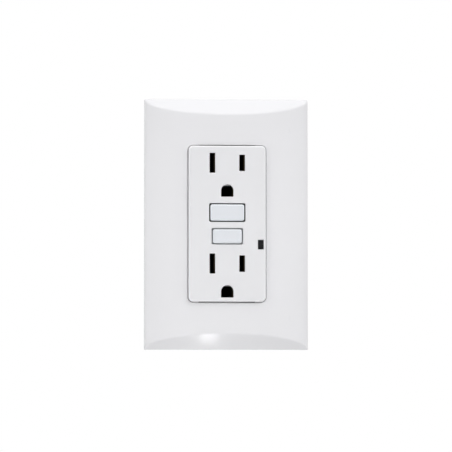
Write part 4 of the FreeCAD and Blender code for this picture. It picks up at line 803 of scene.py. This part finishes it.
resetButton = makeButton("resetButton", buttonForm)
carve(resetButton, makeButtonRod("pinSocket", "resetButton", buttonForm["socketSpan"],
                                 buttonForm["socketRadius"]))
dress(resetButton, "reset", "buttonWhite", "reset_button", angle=40)

testButton = makeButton("testButton", buttonForm)
post = makeButtonRod("testPost", "testButton", buttonForm["postSpan"], buttonForm["postRadius"])
fuse(testButton, bevelEdges(post, sharp(), buttonForm["postEdge"], 2))
dress(testButton, "test", "buttonWhite", "test_button", angle=40)

# smoked window of the indicator, a light pipe down to its lamp
lensForm = {
    "spot": (14.3, -8.9), "size": (2.3, 3.9), "depth": (-8.1, 22.2), "corner": 0.2, "frontEdge": 0.15,
    "waist": 0.25, "waistSpan": (-5.8, 21.0),
}


def makeLens(form):
    side, height = form["spot"]
    width, tall = form["size"]
    first, last = form["waistSpan"]
    lens = roundedBlock("indicatorLens", span(side, width), form["depth"], span(height, tall),
                        form["corner"], 2)
    for level in (first, last):
        splitAt(lens, (0, level, 0), (0, 1, 0))
    thin = (width - 2 * form["waist"]) / width
    resizeParts(lens, "VERT", lambda vert: first - planeRoom < vert.co.y / mm < last + planeRoom,
                (thin, 1, thin), (side, 0, height))
    return bevelEdges(lens, onLevel("y", form["depth"][0]), form["frontEdge"], 2)


dress(makeLens(lensForm), "device", "smokedLens", "indicator_lens")
print("buttons and indicator ready")


# a moulding or pressing copied from its solid, with its loose triangles joined and its edges softened
def softCopy(nodeName, name, width, segments=2, keep=everything):
    piece = copyOf(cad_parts[nodeName], name)
    pick(piece, "FACE", everything)
    bpy.ops.mesh.remove_doubles(threshold=weldRoom)
    bpy.ops.mesh.dissolve_limited(angle_limit=flatTurn)
    leaveEdit()
    if width:
        bevelEdges(piece, allOf(sharp(), keep), width, segments)
    return piece


housingForm = {
    "half": (21.0, 35.3), "rear": 32.0, "seam": 12.4, "windows": (12.8, 23.2),
    "softEdge": 0.2, "holeEdge": 0.1, "rearEdge": 0.7, "seamEdge": 0.25,
    "panelHalf": (12.2, 13.5), "panelDepth": 0.35, "panelCorner": 1.5, "panelDraft": 0.975,
    "gauge": (6.0, 1.6), "gaugeSpan": (-29.5, -17.5), "gaugeCorner": 0.7,
    "grooveDepth": 0.35, "grooveWidth": 0.9, "grooveHalf": 9.5, "grooves": (15.5, 18.0, 20.5),
    "grooveCorner": 0.4,
    "endGroove": (4.5, 5.0), "endGrooveDepth": 0.3, "endGrooveFront": 16, "endGrooveCorner": 0.25,
    "rearRoom": 1.2, "seamRoom": 1, "wireRoom": 1.5,  # how far from the sides edges are softened
}


def makeRearHousing(form):
    halfX, halfZ = form["half"]
    rear, deep = form["rear"], form["grooveDepth"]

    def nearSides(room):
        return lambda edge: abs(middleOf(edge).x) > halfX - room or abs(middleOf(edge).z) > halfZ - room

    def onHole(edge):
        spot = middleOf(edge)
        low, high = form["windows"]
        atWires = abs(spot.y - rear) < planeRoom and abs(spot.x) < halfX - form["wireRoom"]
        return atWires or (abs(spot.x) > halfX - planeRoom and low < spot.y < high)

    housing = softCopy("rear_housing", "rearHousing", form["rearEdge"], 4,
                       allOf(onLevel("y", rear), nearSides(form["rearRoom"])))
    bevelEdges(housing, allOf(sharp(), onHole), form["holeEdge"], 2)
    bevelEdges(housing, allOf(sharp(), onLevel("y", form["seam"]), nearSides(form["seamRoom"])),
               form["seamEdge"], 2)

    # a bare sunk panel, a stripping gauge and grooves down the sides
    panel = roundedBlock("sunkPanel", across(form["panelHalf"][0]),
                         (rear - form["panelDepth"], rear + past), across(form["panelHalf"][1]),
                         form["panelCorner"], 5)
    resizeParts(panel, "FACE", looksAlong("y", -1), (form["panelDraft"], 1, form["panelDraft"]),
                (0, rear, 0))
    gauge = roundedBlock("gauge", span(*form["gauge"]), (rear - deep, rear + past), form["gaugeSpan"],
                         form["gaugeCorner"], 5)
    carve(housing, panel, gauge)
    for side in (1, -1):
        for end in (1, -1):
            centre, width = form["endGroove"]
            carve(housing, roundedBlock("endGroove", span(centre * side, width),
                                        (form["endGrooveFront"], rear + past),
                                        span(halfZ * end, form["endGrooveDepth"] * 2),
                                        form["endGrooveCorner"], 2))
        x = sorted(((halfX - deep) * side, (halfX + past) * side))
        for level in form["grooves"]:
            groove = addBlock("sideGroove", x, span(level, form["grooveWidth"]),
                              across(form["grooveHalf"]))
            carve(housing, bevelEdges(groove, runsAlong("x"), form["grooveCorner"], 3))
    return housing


dress(makeRearHousing(housingForm), "device", "bodyGrey", "rear_housing")
dress(softCopy("middle_housing", "middleHousing", housingForm["softEdge"]), "device", "bodyBlue",
      "middle_housing")
print("housings ready")

# threaded screws: one thread form, cut to length, under a domed head with a driver recess
threadForm = {
    "pitch": 0.794, "depth": 0.4, "sides": 24, "cuts": 3, "crest": (0.4, 0.8),  # crest: share of a turn
    "spare": 3,  # turns that are cut off again, half of them below the start
    "point": 1.2, "taper": ((1.0, 0.92), (0.62, 0.9), (0.28, 0.88)),  # share of the point, narrower
}


# a right-handed thread along +Z from 0 to its length
def makeThread(name, radius, length, form):
    pitch, root = form["pitch"], radius - form["depth"]
    clearSelection()
    bpy.ops.mesh.primitive_plane_add(size=pitch * mm, location=(radius * mm, 0, 0),
                                     rotation=(quarterTurn, 0, 0))
    thread = settle(bpy.context.object, name)
    # only the plane's outer edge is kept, and becomes the tooth
    pick(thread, "EDGE", lambda edge: middleOf(edge).x > radius + pitch / 4)
    bpy.ops.mesh.select_all(action="INVERT")
    bpy.ops.mesh.delete(type="EDGE_FACE")
    leaveEdit()
    edit(thread, "VERT", lambda vert: len(vert.link_edges) == 0, bpy.ops.mesh.delete, type="VERT")
    edit(thread, "EDGE", everything, bpy.ops.mesh.subdivide, number_cuts=form["cuts"])
    for vert in thread.data.vertices:
        share = vert.co.z / (pitch * mm) + 0.5
        atCrest = form["crest"][0] < share < form["crest"][1]
        vert.co.x = (root + form["depth"] * atCrest) * mm
    windUp(thread, pitch, int(length / pitch) + form["spare"], form["sides"])
    # each turn is joined to the next
    edit(thread, "VERT", everything, bpy.ops.mesh.remove_doubles, threshold=1e-6)
    thread.location.z = -form["spare"] / 2 * pitch * mm
    settle(thread, name)
    trimBeyond(thread, (0, 0, 0), (0, 0, -1))
    trimBeyond(thread, (0, 0, length), (0, 0, 1))
    for share, narrower in form["taper"]:
        reach = length - form["point"] * share
        resizeParts(thread, "VERT", lambda vert: vert.co.z / mm > reach, (narrower, narrower, 1),
                    (0, 0, length))
    return turnOutwards(thread)


screwForm = {
    # head radius, thread radius, length from under the head, dome, plain neck, neck radius
    "box": (3.4, 1.75, 22.5, 0.9, 2.45, 1.45), "case": (2.3, 1.25, 32.8, 0.3, 0.0, 0.89),
    "terminal": (3.7, 1.75, 5.3, 0.7, 0.0, 1.39), "ground": (3.7, 1.75, 4.7, 0.7, 0.0, 1.39),
    "headThick": 1.9, "domeProfile": 0.55, "underEdge": 0.12,
    "recess": 0.9, "slotHalf": 0.5, "wingHalf": 0.42, "wingReach": 0.62, "wingTaper": (0.8, 0.55, 1),
    "slotReach": 0.5, "neckSink": 0.3, "neckLap": 0.35,
}


# a whole screw along +Z: shank from 0 up, head below 0 with its recess facing -Z
def makeScrew(kind, form):
    headRadius, radius, length, dome, neck, neckRadius = form[kind]
    name, front = kind + "Pattern", -form["headThick"]
    head = addRod(name, "z", (0, 0), (front, 0), headRadius, 64)
    bevelEdges(head, allOf(sharp(), onLevel("z", front)), dome, 5, form["domeProfile"])
    bevelEdges(head, allOf(sharp(), onLevel("z", 0)), form["underEdge"], 1)
    recess = (front - past, front + form["recess"])
    carve(head, addBlock("driverSlot", across(headRadius + form["slotReach"]),
                         across(form["slotHalf"]), recess))
    wing = addBlock("crossWing", across(form["wingHalf"]), across(headRadius * form["wingReach"]),
                    recess)
    carve(head, resizeParts(wing, "FACE", looksAlong("z", 1), form["wingTaper"], (0, 0, 0)))
    shank = addRod(name + "Neck", "z", (0, 0), (-form["neckSink"], neck + form["neckLap"]),
                   neckRadius, 32)
    thread = makeThread(name + "Thread", radius, length - neck, threadForm)
    thread.location.z = neck * mm
    settle(thread, name + "Thread")
    return together(fuse(head, shank), thread)


aimAt = {"+x": (0, quarterTurn, 0), "-x": (0, -quarterTurn, 0), "+y": (-quarterTurn, 0, 0),
         "-y": (quarterTurn, 0, 0), "+z": (0, 0, 0)}


# one more of a piece, its +Z pointed another way and its origin moved to a spot
def copyTo(piece, name, aim, spot, spin):
    twin = copyOf(piece, name)
    twin.matrix_world = (Matrix.Translation(Vector(spot) * mm) @ Euler(aimAt[aim]).to_matrix().to_4x4()
                         @ Matrix.Rotation(math.radians(spin), 4, "Z"))
    return settle(twin, name)


def dressScrews(screws, body, finish, nodeName):
    dress(screws, body, finish, nodeName, angle=35, weighted=False)


screwPlaces = {
    "boxSpots": ((41.67, 35), (-41.67, -70)), "boxDepth": -2.5,  # height and spin of each
    "caseSpots": (16.6, 30.9), "caseDepth": 30.1, "caseSpin": 40, "caseSpinStep": 67,
    "terminalDepth": 18.0, "terminalHeight": 20.0, "terminalSeat": 18.05, "terminalSpin": 90,
    "groundSpot": (-9.0, 7.0, -41.75), "groundSpin": 90,
}
boxScrew, caseScrew, terminalScrew, greenScrew = (
    makeScrew(kind, screwForm) for kind in ("box", "case", "terminal", "ground"))
boxScrews = [copyTo(boxScrew, "mountingScrews", "+y", (0, screwPlaces["boxDepth"], height), spin)
             for height, spin in screwPlaces["boxSpots"]]
dressScrews(together(*boxScrews), "device", "screwSteel", "mounting_screws")

caseScrews = []
for index, (side, end) in enumerate(corners):
    spot = (screwPlaces["caseSpots"][0] * side, screwPlaces["caseDepth"],
            screwPlaces["caseSpots"][1] * end)
    caseScrews.append(copyTo(caseScrew, "housingScrews", "-y", spot,
                             screwPlaces["caseSpin"] + screwPlaces["caseSpinStep"] * index))
dressScrews(together(*caseScrews), "device", "screwSteel", "housing_screws")

# row, pole, side, end and finish of each terminal
terminals = [(row, pole, side, end, finish) for row, end in (("line", -1), ("load", 1))
             for pole, side, finish in (("hot", 1, "brass"), ("neutral", -1, "nickel"))]
for row, pole, side, end, finish in terminals:
    spot = (screwPlaces["terminalSeat"] * side, screwPlaces["terminalDepth"],
            screwPlaces["terminalHeight"] * end)
    screw = copyTo(terminalScrew, f"{row}{pole.title()}Screw", "-x" if side > 0 else "+x", spot,
                   screwPlaces["terminalSpin"])
    dressScrews(screw, f"{row}_{pole}_terminal_screw", finish, f"{row}_{pole}_screw")

groundScrew = copyTo(greenScrew, "groundScrew", "+z", screwPlaces["groundSpot"],
                     screwPlaces["groundSpin"])
dressScrews(groundScrew, "ground_terminal_screw", "greenScrew", "ground_screw")
discard(boxScrew, caseScrew, terminalScrew, greenScrew)
print("screws ready")

# pressed and moulded pieces copied from their solids: name, body, finish, slot, edge width
pressings = {
    "sub_plate": ("subPlate", "device", "frameWhite", "subplate_grey", 0.07),
    "mounting_strap": ("mountingStrap", "device", "zincSteel", "zinc_steel", 0.05),
    "retaining_washers": ("retainingWashers", "device", "fibreRed", "fibre", 0.08),
    # the contacts seen through the slots take the darkened brass, painted shade
    "ground_contact_upper": ("upperGroundContact", "device", "brassInPaintedShade", "brass", 0.04),
    "ground_contact_lower": ("lowerGroundContact", "device", "brassInPaintedShade", "brass", 0.04),
    "load_hot_contact": ("loadHotContact", "device", "brassInPaintedShade", "brass", 0.08),
    "load_neutral_contact": ("loadNeutralContact", "device", "brassInPaintedShade", "brass", 0.08),
    "line_hot_terminal": ("lineHotTerminal", "device", "brass", "brass", 0.08),
    "line_neutral_terminal": ("lineNeutralTerminal", "device", "brass", "brass", 0.08),
    "ground_washer": ("groundWasher", "ground_clamp_washer", "greenScrew", "green_screw", 0.15),
    "hot_contact_arm": ("hotContactArm", "hot_arm", "brass", "brass", 0.0),
    "neutral_contact_arm": ("neutralContactArm", "neutral_arm", "brass", "brass", 0.0),
    "test_contact": ("testRivet", "device", "brass", "brass", 0.25),
    "reset_pin": ("resetPin", "reset", "screwSteel", "screw_steel", 0.12),
    "contact_carriage": ("contactCarriage", "carriage", "nylonBlack", "latch_black", 0.07),
    "latch_plate": ("latchPlate", "latch", "springSteel", "spring_steel", 0.08),
    "plunger": ("solenoidPlunger", "armature", "screwSteel", "screw_steel", 0.15),
    "solenoid_frame": ("solenoidFrame", "device", "zincSteel", "zinc_steel", 0.12),
    "solenoid_bobbin": ("solenoidBobbin", "device", "nylonBlack", "latch_black", 0.1),
    "transformer_case": ("transformerCase", "device", "nylonBlack", "latch_black", 0.15),
    "circuit_board": ("circuitBoard", "device", "boardGreen", "board_green", 0.1),
    "thyristor": ("tripThyristor", "device", "chipBlack", "chip_black", 0.04),
    "varistor": ("discVaristor", "device", "varistorBlue", "varistor_blue", 0.0),
    "capacitor": ("filterCapacitor", "device", "sleeveBlack", "latch_black", 0.1),
    "resistors": ("resistorRow", "device", "bandedTan", "resistor_tan", 0.0),
    "diodes": ("diodeRow", "device", "bandedBlack", "chip_black", 0.0),
    "indicator_led": ("indicatorLamp", "device", "lampRed", "led_clear", 0.05),
}
strapForm = {"score": (11.2, 0.5), "scoreFront": -0.14, "scoreHeight": 38.0, "scoreLength": 14.0}
frameForm = {
    "ringSpan": (-1.5, -0.7), "ringRadius": 2.6, "boreSpan": (-3, 2), "boreRadius": 1.45,
    "pocket": (24.9, 3.0), "pocketFront": -1.75, "pocketCorner": 0.8,
    "pockets": ((0.0, 30.0), (27.0, 12.0), (-27.0, 12.0)),  # height, length
}


# shallow grooves pressed into the ears, where they snap off
def pressStrap(strap, form):
    for end in (1, -1):
        for side in (1, -1):
            carve(strap, addBlock("scoreLine", span(form["score"][0] * side, form["score"][1]),
                                  (form["scoreFront"], past),
                                  span(form["scoreHeight"] * end, form["scoreLength"])))


# rings round the sockets of the plate's plugs, and pockets along the edges of the frame
def detailFrame(plate, form):
    for side in (1, -1):
        for end in (1, -1):
            spot = (plateForm["posts"][0] * side, plateForm["posts"][1] * end)
            ring = addRod("socketRing", "y", spot, form["ringSpan"], form["ringRadius"])
            fuse(plate, carve(ring, addRod("socketBore", "y", spot, form["boreSpan"],
                                           form["boreRadius"])))
        for height, length in form["pockets"]:
            carve(plate, roundedBlock("framePocket", span(form["pocket"][0] * side, form["pocket"][1]),
                                      (form["pocketFront"], past), span(height, length),
                                      form["pocketCorner"], 4))


for nodeName, (name, body, finish, slot, width) in pressings.items():
    piece = softCopy(nodeName, name, width)
    if nodeName == "mounting_strap":
        pressStrap(piece, strapForm)
    if nodeName == "sub_plate":
        detailFrame(piece, frameForm)
    dress(piece, body, finish, nodeName)
print("pressings ready:", len(pressings))

# wire clamps: serrated on the face that grips the wire
clampForm = {
    "face": 14.6, "groove": 0.42, "grooveSpan": (12, 24), "pitch": 1.0, "lines": 7, "edge": 0.12,
    "faceRoom": 0.5,
}
for row, pole, side, end, finish in terminals:
    clamp = softCopy(f"{row}_{pole}_clamp", f"{row}{pole.title()}Clamp", 0)
    grip = clampForm["face"] * side
    for index in range(clampForm["lines"]):
        height = (screwPlaces["terminalHeight"] * end
                  + (index - (clampForm["lines"] - 1) / 2) * clampForm["pitch"])
        groove = addBlock("serration", span(grip, clampForm["groove"]), clampForm["grooveSpan"],
                          span(height, clampForm["groove"]))
        edit(groove, "FACE", everything, bpy.ops.transform.rotate, value=math.radians(45),
             orient_axis="Y", center_override=(grip * mm, 0, height * mm))
        carve(clamp, groove)
    bevelEdges(clamp, allOf(sharp(), lambda edge: abs(middleOf(edge).x - grip) > clampForm["faceRoom"]),
               clampForm["edge"], 2)
    dress(clamp, f"{row}_{pole}_clamp_plate", finish, f"{row}_{pole}_clamp")


# round wire wound along +Z from 0 up, with closed ends
def windWire(name, radius, wire, pitch, turns, sides, steps):
    clearSelection()
    bpy.ops.mesh.primitive_circle_add(vertices=sides, radius=wire / 2 * mm, fill_type="NOTHING",
                                      location=(radius * mm, 0, 0), rotation=(quarterTurn, 0, 0))
    coil = settle(bpy.context.object, name)
    windUp(coil, pitch, turns, steps)
    edit(coil, "EDGE", lambda edge: edge.is_boundary, bpy.ops.mesh.edge_face_add)
    return turnOutwards(coil)


# solenoid winding: enamelled wire laid turn by turn on the bobbin
coilForm = {
    "wire": 0.36, "radius": 4.4, "inner": 2.65, "low": 17.8, "high": 29.2, "depth": 18.8,
    "sink": 0.6,  # share of a wire by which the core stays under it
}


def makeCoil(form):
    wire, radius, low, high = form["wire"], form["radius"], form["low"], form["high"]
    centre = (0, form["depth"])
    turns = int((high - low - wire) / wire)
    coil = windWire("solenoidCoil", radius - wire / 2, wire, wire, turns, sides=8, steps=32)
    coil.location = Vector((*centre, low + wire / 2)) * mm
    settle(coil, "solenoidCoil")
    core = addRod("windingCore", "z", centre, (low, high), radius - wire * form["sink"], 48)
    carve(core, addRod("windingBore", "z", centre, (low - past, high + past), form["inner"]))
    return together(coil, core)


dress(makeCoil(coilForm), "device", "enamelCopper", "solenoid_coil", angle=50, weighted=False)

# wound springs, held by the housing at one end and pushed by a moving piece at the other
springForm = {
    # solid: name, moving body, axis, held end, moving end, coil radius, wire, turns
    "reset_spring": ("resetSpring", "reset", "y", (0, 2.95, 4.7), (0, -3.75, 4.7), 2.6, 0.5, 5),
    "plunger_spring": ("plungerSpring", "armature", "z", (0, 18.8, 16.85), (0, 18.8, 20.95), 1.55,
                       0.35, 4),
    "breaker_spring_right": ("rightBreakerSpring", "carriage", "y", (7.5, 12.45, 7.5),
                             (7.5, 15.75, 7.5), 1.5, 0.4, 3),
    "breaker_spring_left": ("leftBreakerSpring", "carriage", "y", (-7.5, 12.45, 7.5),
                            (-7.5, 15.75, 7.5), 1.5, 0.4, 3),
}
for nodeName, (name, body, axis, held, moved, radius, wire, turns) in springForm.items():
    held, moved = Vector(held), Vector(moved)
    start = min(held, moved, key=sum)
    pitch = ((moved - held).length - wire) / turns
    spring = windWire(name, radius, wire, pitch, turns, sides=12, steps=40)
    spring.rotation_euler = turnTo[axis]
    spring.location = (start + Vector((0, axis == "y", axis == "z")) * wire / 2) * mm
    settle(spring, name)
    dress(spring, None, "springSteel", nodeName, angle=60, weighted=False)
    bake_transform(spring)

# leaf under the test button: cut across at the levels where it bends between its foot and the post that
# pushes it
leafForm = {"edge": 0.06, "bends": (-8.5, -8.2, -7.9, -7.55, -7.2, -6.9, -6.6), "front": -0.7}
testLeaf = softCopy("test_spring", "testLeaf", leafForm["edge"])
for level in leafForm["bends"]:
    splitAt(testLeaf, (0, 0, level), (0, 0, 1))
dress(testLeaf, None, "brass", "test_spring")
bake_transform(testLeaf)

# controller: moulded body with eight bent legs
chipForm = {
    "spot": (3.0, 2.0), "size": (4.0, 5.0), "front": 25.4, "rear": 27.2, "lift": 0.15, "corner": 0.15,
    "edge": 0.1, "mark": (-1.0, 1.8), "markRadius": 0.3, "markDepth": 0.12,
    "pitch": 1.27, "legs": 4, "legWidth": 0.4, "legThick": 0.2, "legDepth": 0.7, "footDepth": 0.8,
    "bodyInset": 0.8, "legRoot": 0.5, "legTip": 0.05,  # in from the sides over the legs
}


def makeChip(form):
    side, height = form["spot"]
    wide, tall = form["size"]
    front, rear, thick = form["front"], form["rear"], form["legThick"]
    chip = roundedBlock("controllerChip", span(side, wide - form["bodyInset"]),
                        (front, rear - form["lift"]), span(height, tall), form["corner"], 2)
    bevelEdges(chip, onLevel("y", front), form["edge"], 1)
    spot = (side + form["mark"][0], height + form["mark"][1])
    carve(chip, addRod("firstLegMark", "y", spot, (front - past, front + form["markDepth"]),
                       form["markRadius"], 24))
    legs = []
    start = front + form["legDepth"]
    for row in (1, -1):
        inner, outer = (side + row * (wide / 2 - form[part]) for part in ("legRoot", "legTip"))
        for index in range(form["legs"]):
            z = span(height + (index - (form["legs"] - 1) / 2) * form["pitch"], form["legWidth"])
            leg = addBlock("chipLeg", sorted((inner, outer)), (start, start + thick), z)
            foot = addBlock("chipFoot", sorted((outer, outer - row * thick)),
                            (front + form["footDepth"], rear), z)
            legs.append(fuse(leg, foot))
    return together(chip, *legs)


dress(makeChip(chipForm), "device", "chipBlack", "controller_chip")

# sensing cores: ferrite rings wound with fine wire
coreForm = {
    "height": -25.0, "outer": 7.3, "inner": 4.3, "edge": 0.2, "wire": 0.22,
    "turnEdge": 0.3,  # share of a wire by which its corners are rounded
    "turns": 60, "firstTurn": 20, "lastTurn": 340,  # degrees round the ring
    # name: solid, ends
    "cores": {"senseCore": ("sense_core", (17.8, 20.8)), "neutralCore": ("neutral_core", (21.2, 24.2))},
}


def makeCore(name, ends, form):
    wire, height, outer, inner = form["wire"], form["height"], form["outer"], form["inner"]
    within = (ends[0] + wire, ends[1] - wire)
    core = addRod(name, "y", (0, height), within, outer - wire, 96)
    carve(core, addRod("coreBore", "y", (0, height), (ends[0] - past, ends[1] + past),
                       inner + wire, 96))
    bevelEdges(core, sharp(), form["edge"], 2)
    middle, width = (outer + inner) / 2, outer - inner
    loop = addBlock("coreTurn", span(middle, width), ends, span(height, wire))
    carve(loop, addBlock("turnBore", span(middle, width - 2 * wire), within, span(height, wire * 3)))

    def aroundLoop(edge):
        return not runsAlong("z")(edge)
    bevelEdges(loop, allOf(aroundLoop, sharp()), wire * form["turnEdge"], 1)
    turns = []
    centre = Matrix.Translation((0, 0, height * mm))
    step = (form["lastTurn"] - form["firstTurn"]) / (form["turns"] - 1)
    for index in range(form["turns"]):
        angle = math.radians(form["firstTurn"] + step * index)
        turns.append(copyOf(loop, "coreTurn"))
        turns[-1].matrix_world = centre @ Matrix.Rotation(angle, 4, "Y") @ centre.inverted()
    discard(loop)
    wires = settle(together(*turns), name + "Wire")
    core.data.materials.append(finishes["ferriteGrey"])
    wires.data.materials.append(finishes["enamelCopper"])
    return together(core, wires)


for name, (nodeName, ends) in coreForm["cores"].items():
    dress(makeCore(name, ends, coreForm), "device", None, nodeName, angle=40, weighted=False)
print("works of the mechanism ready")
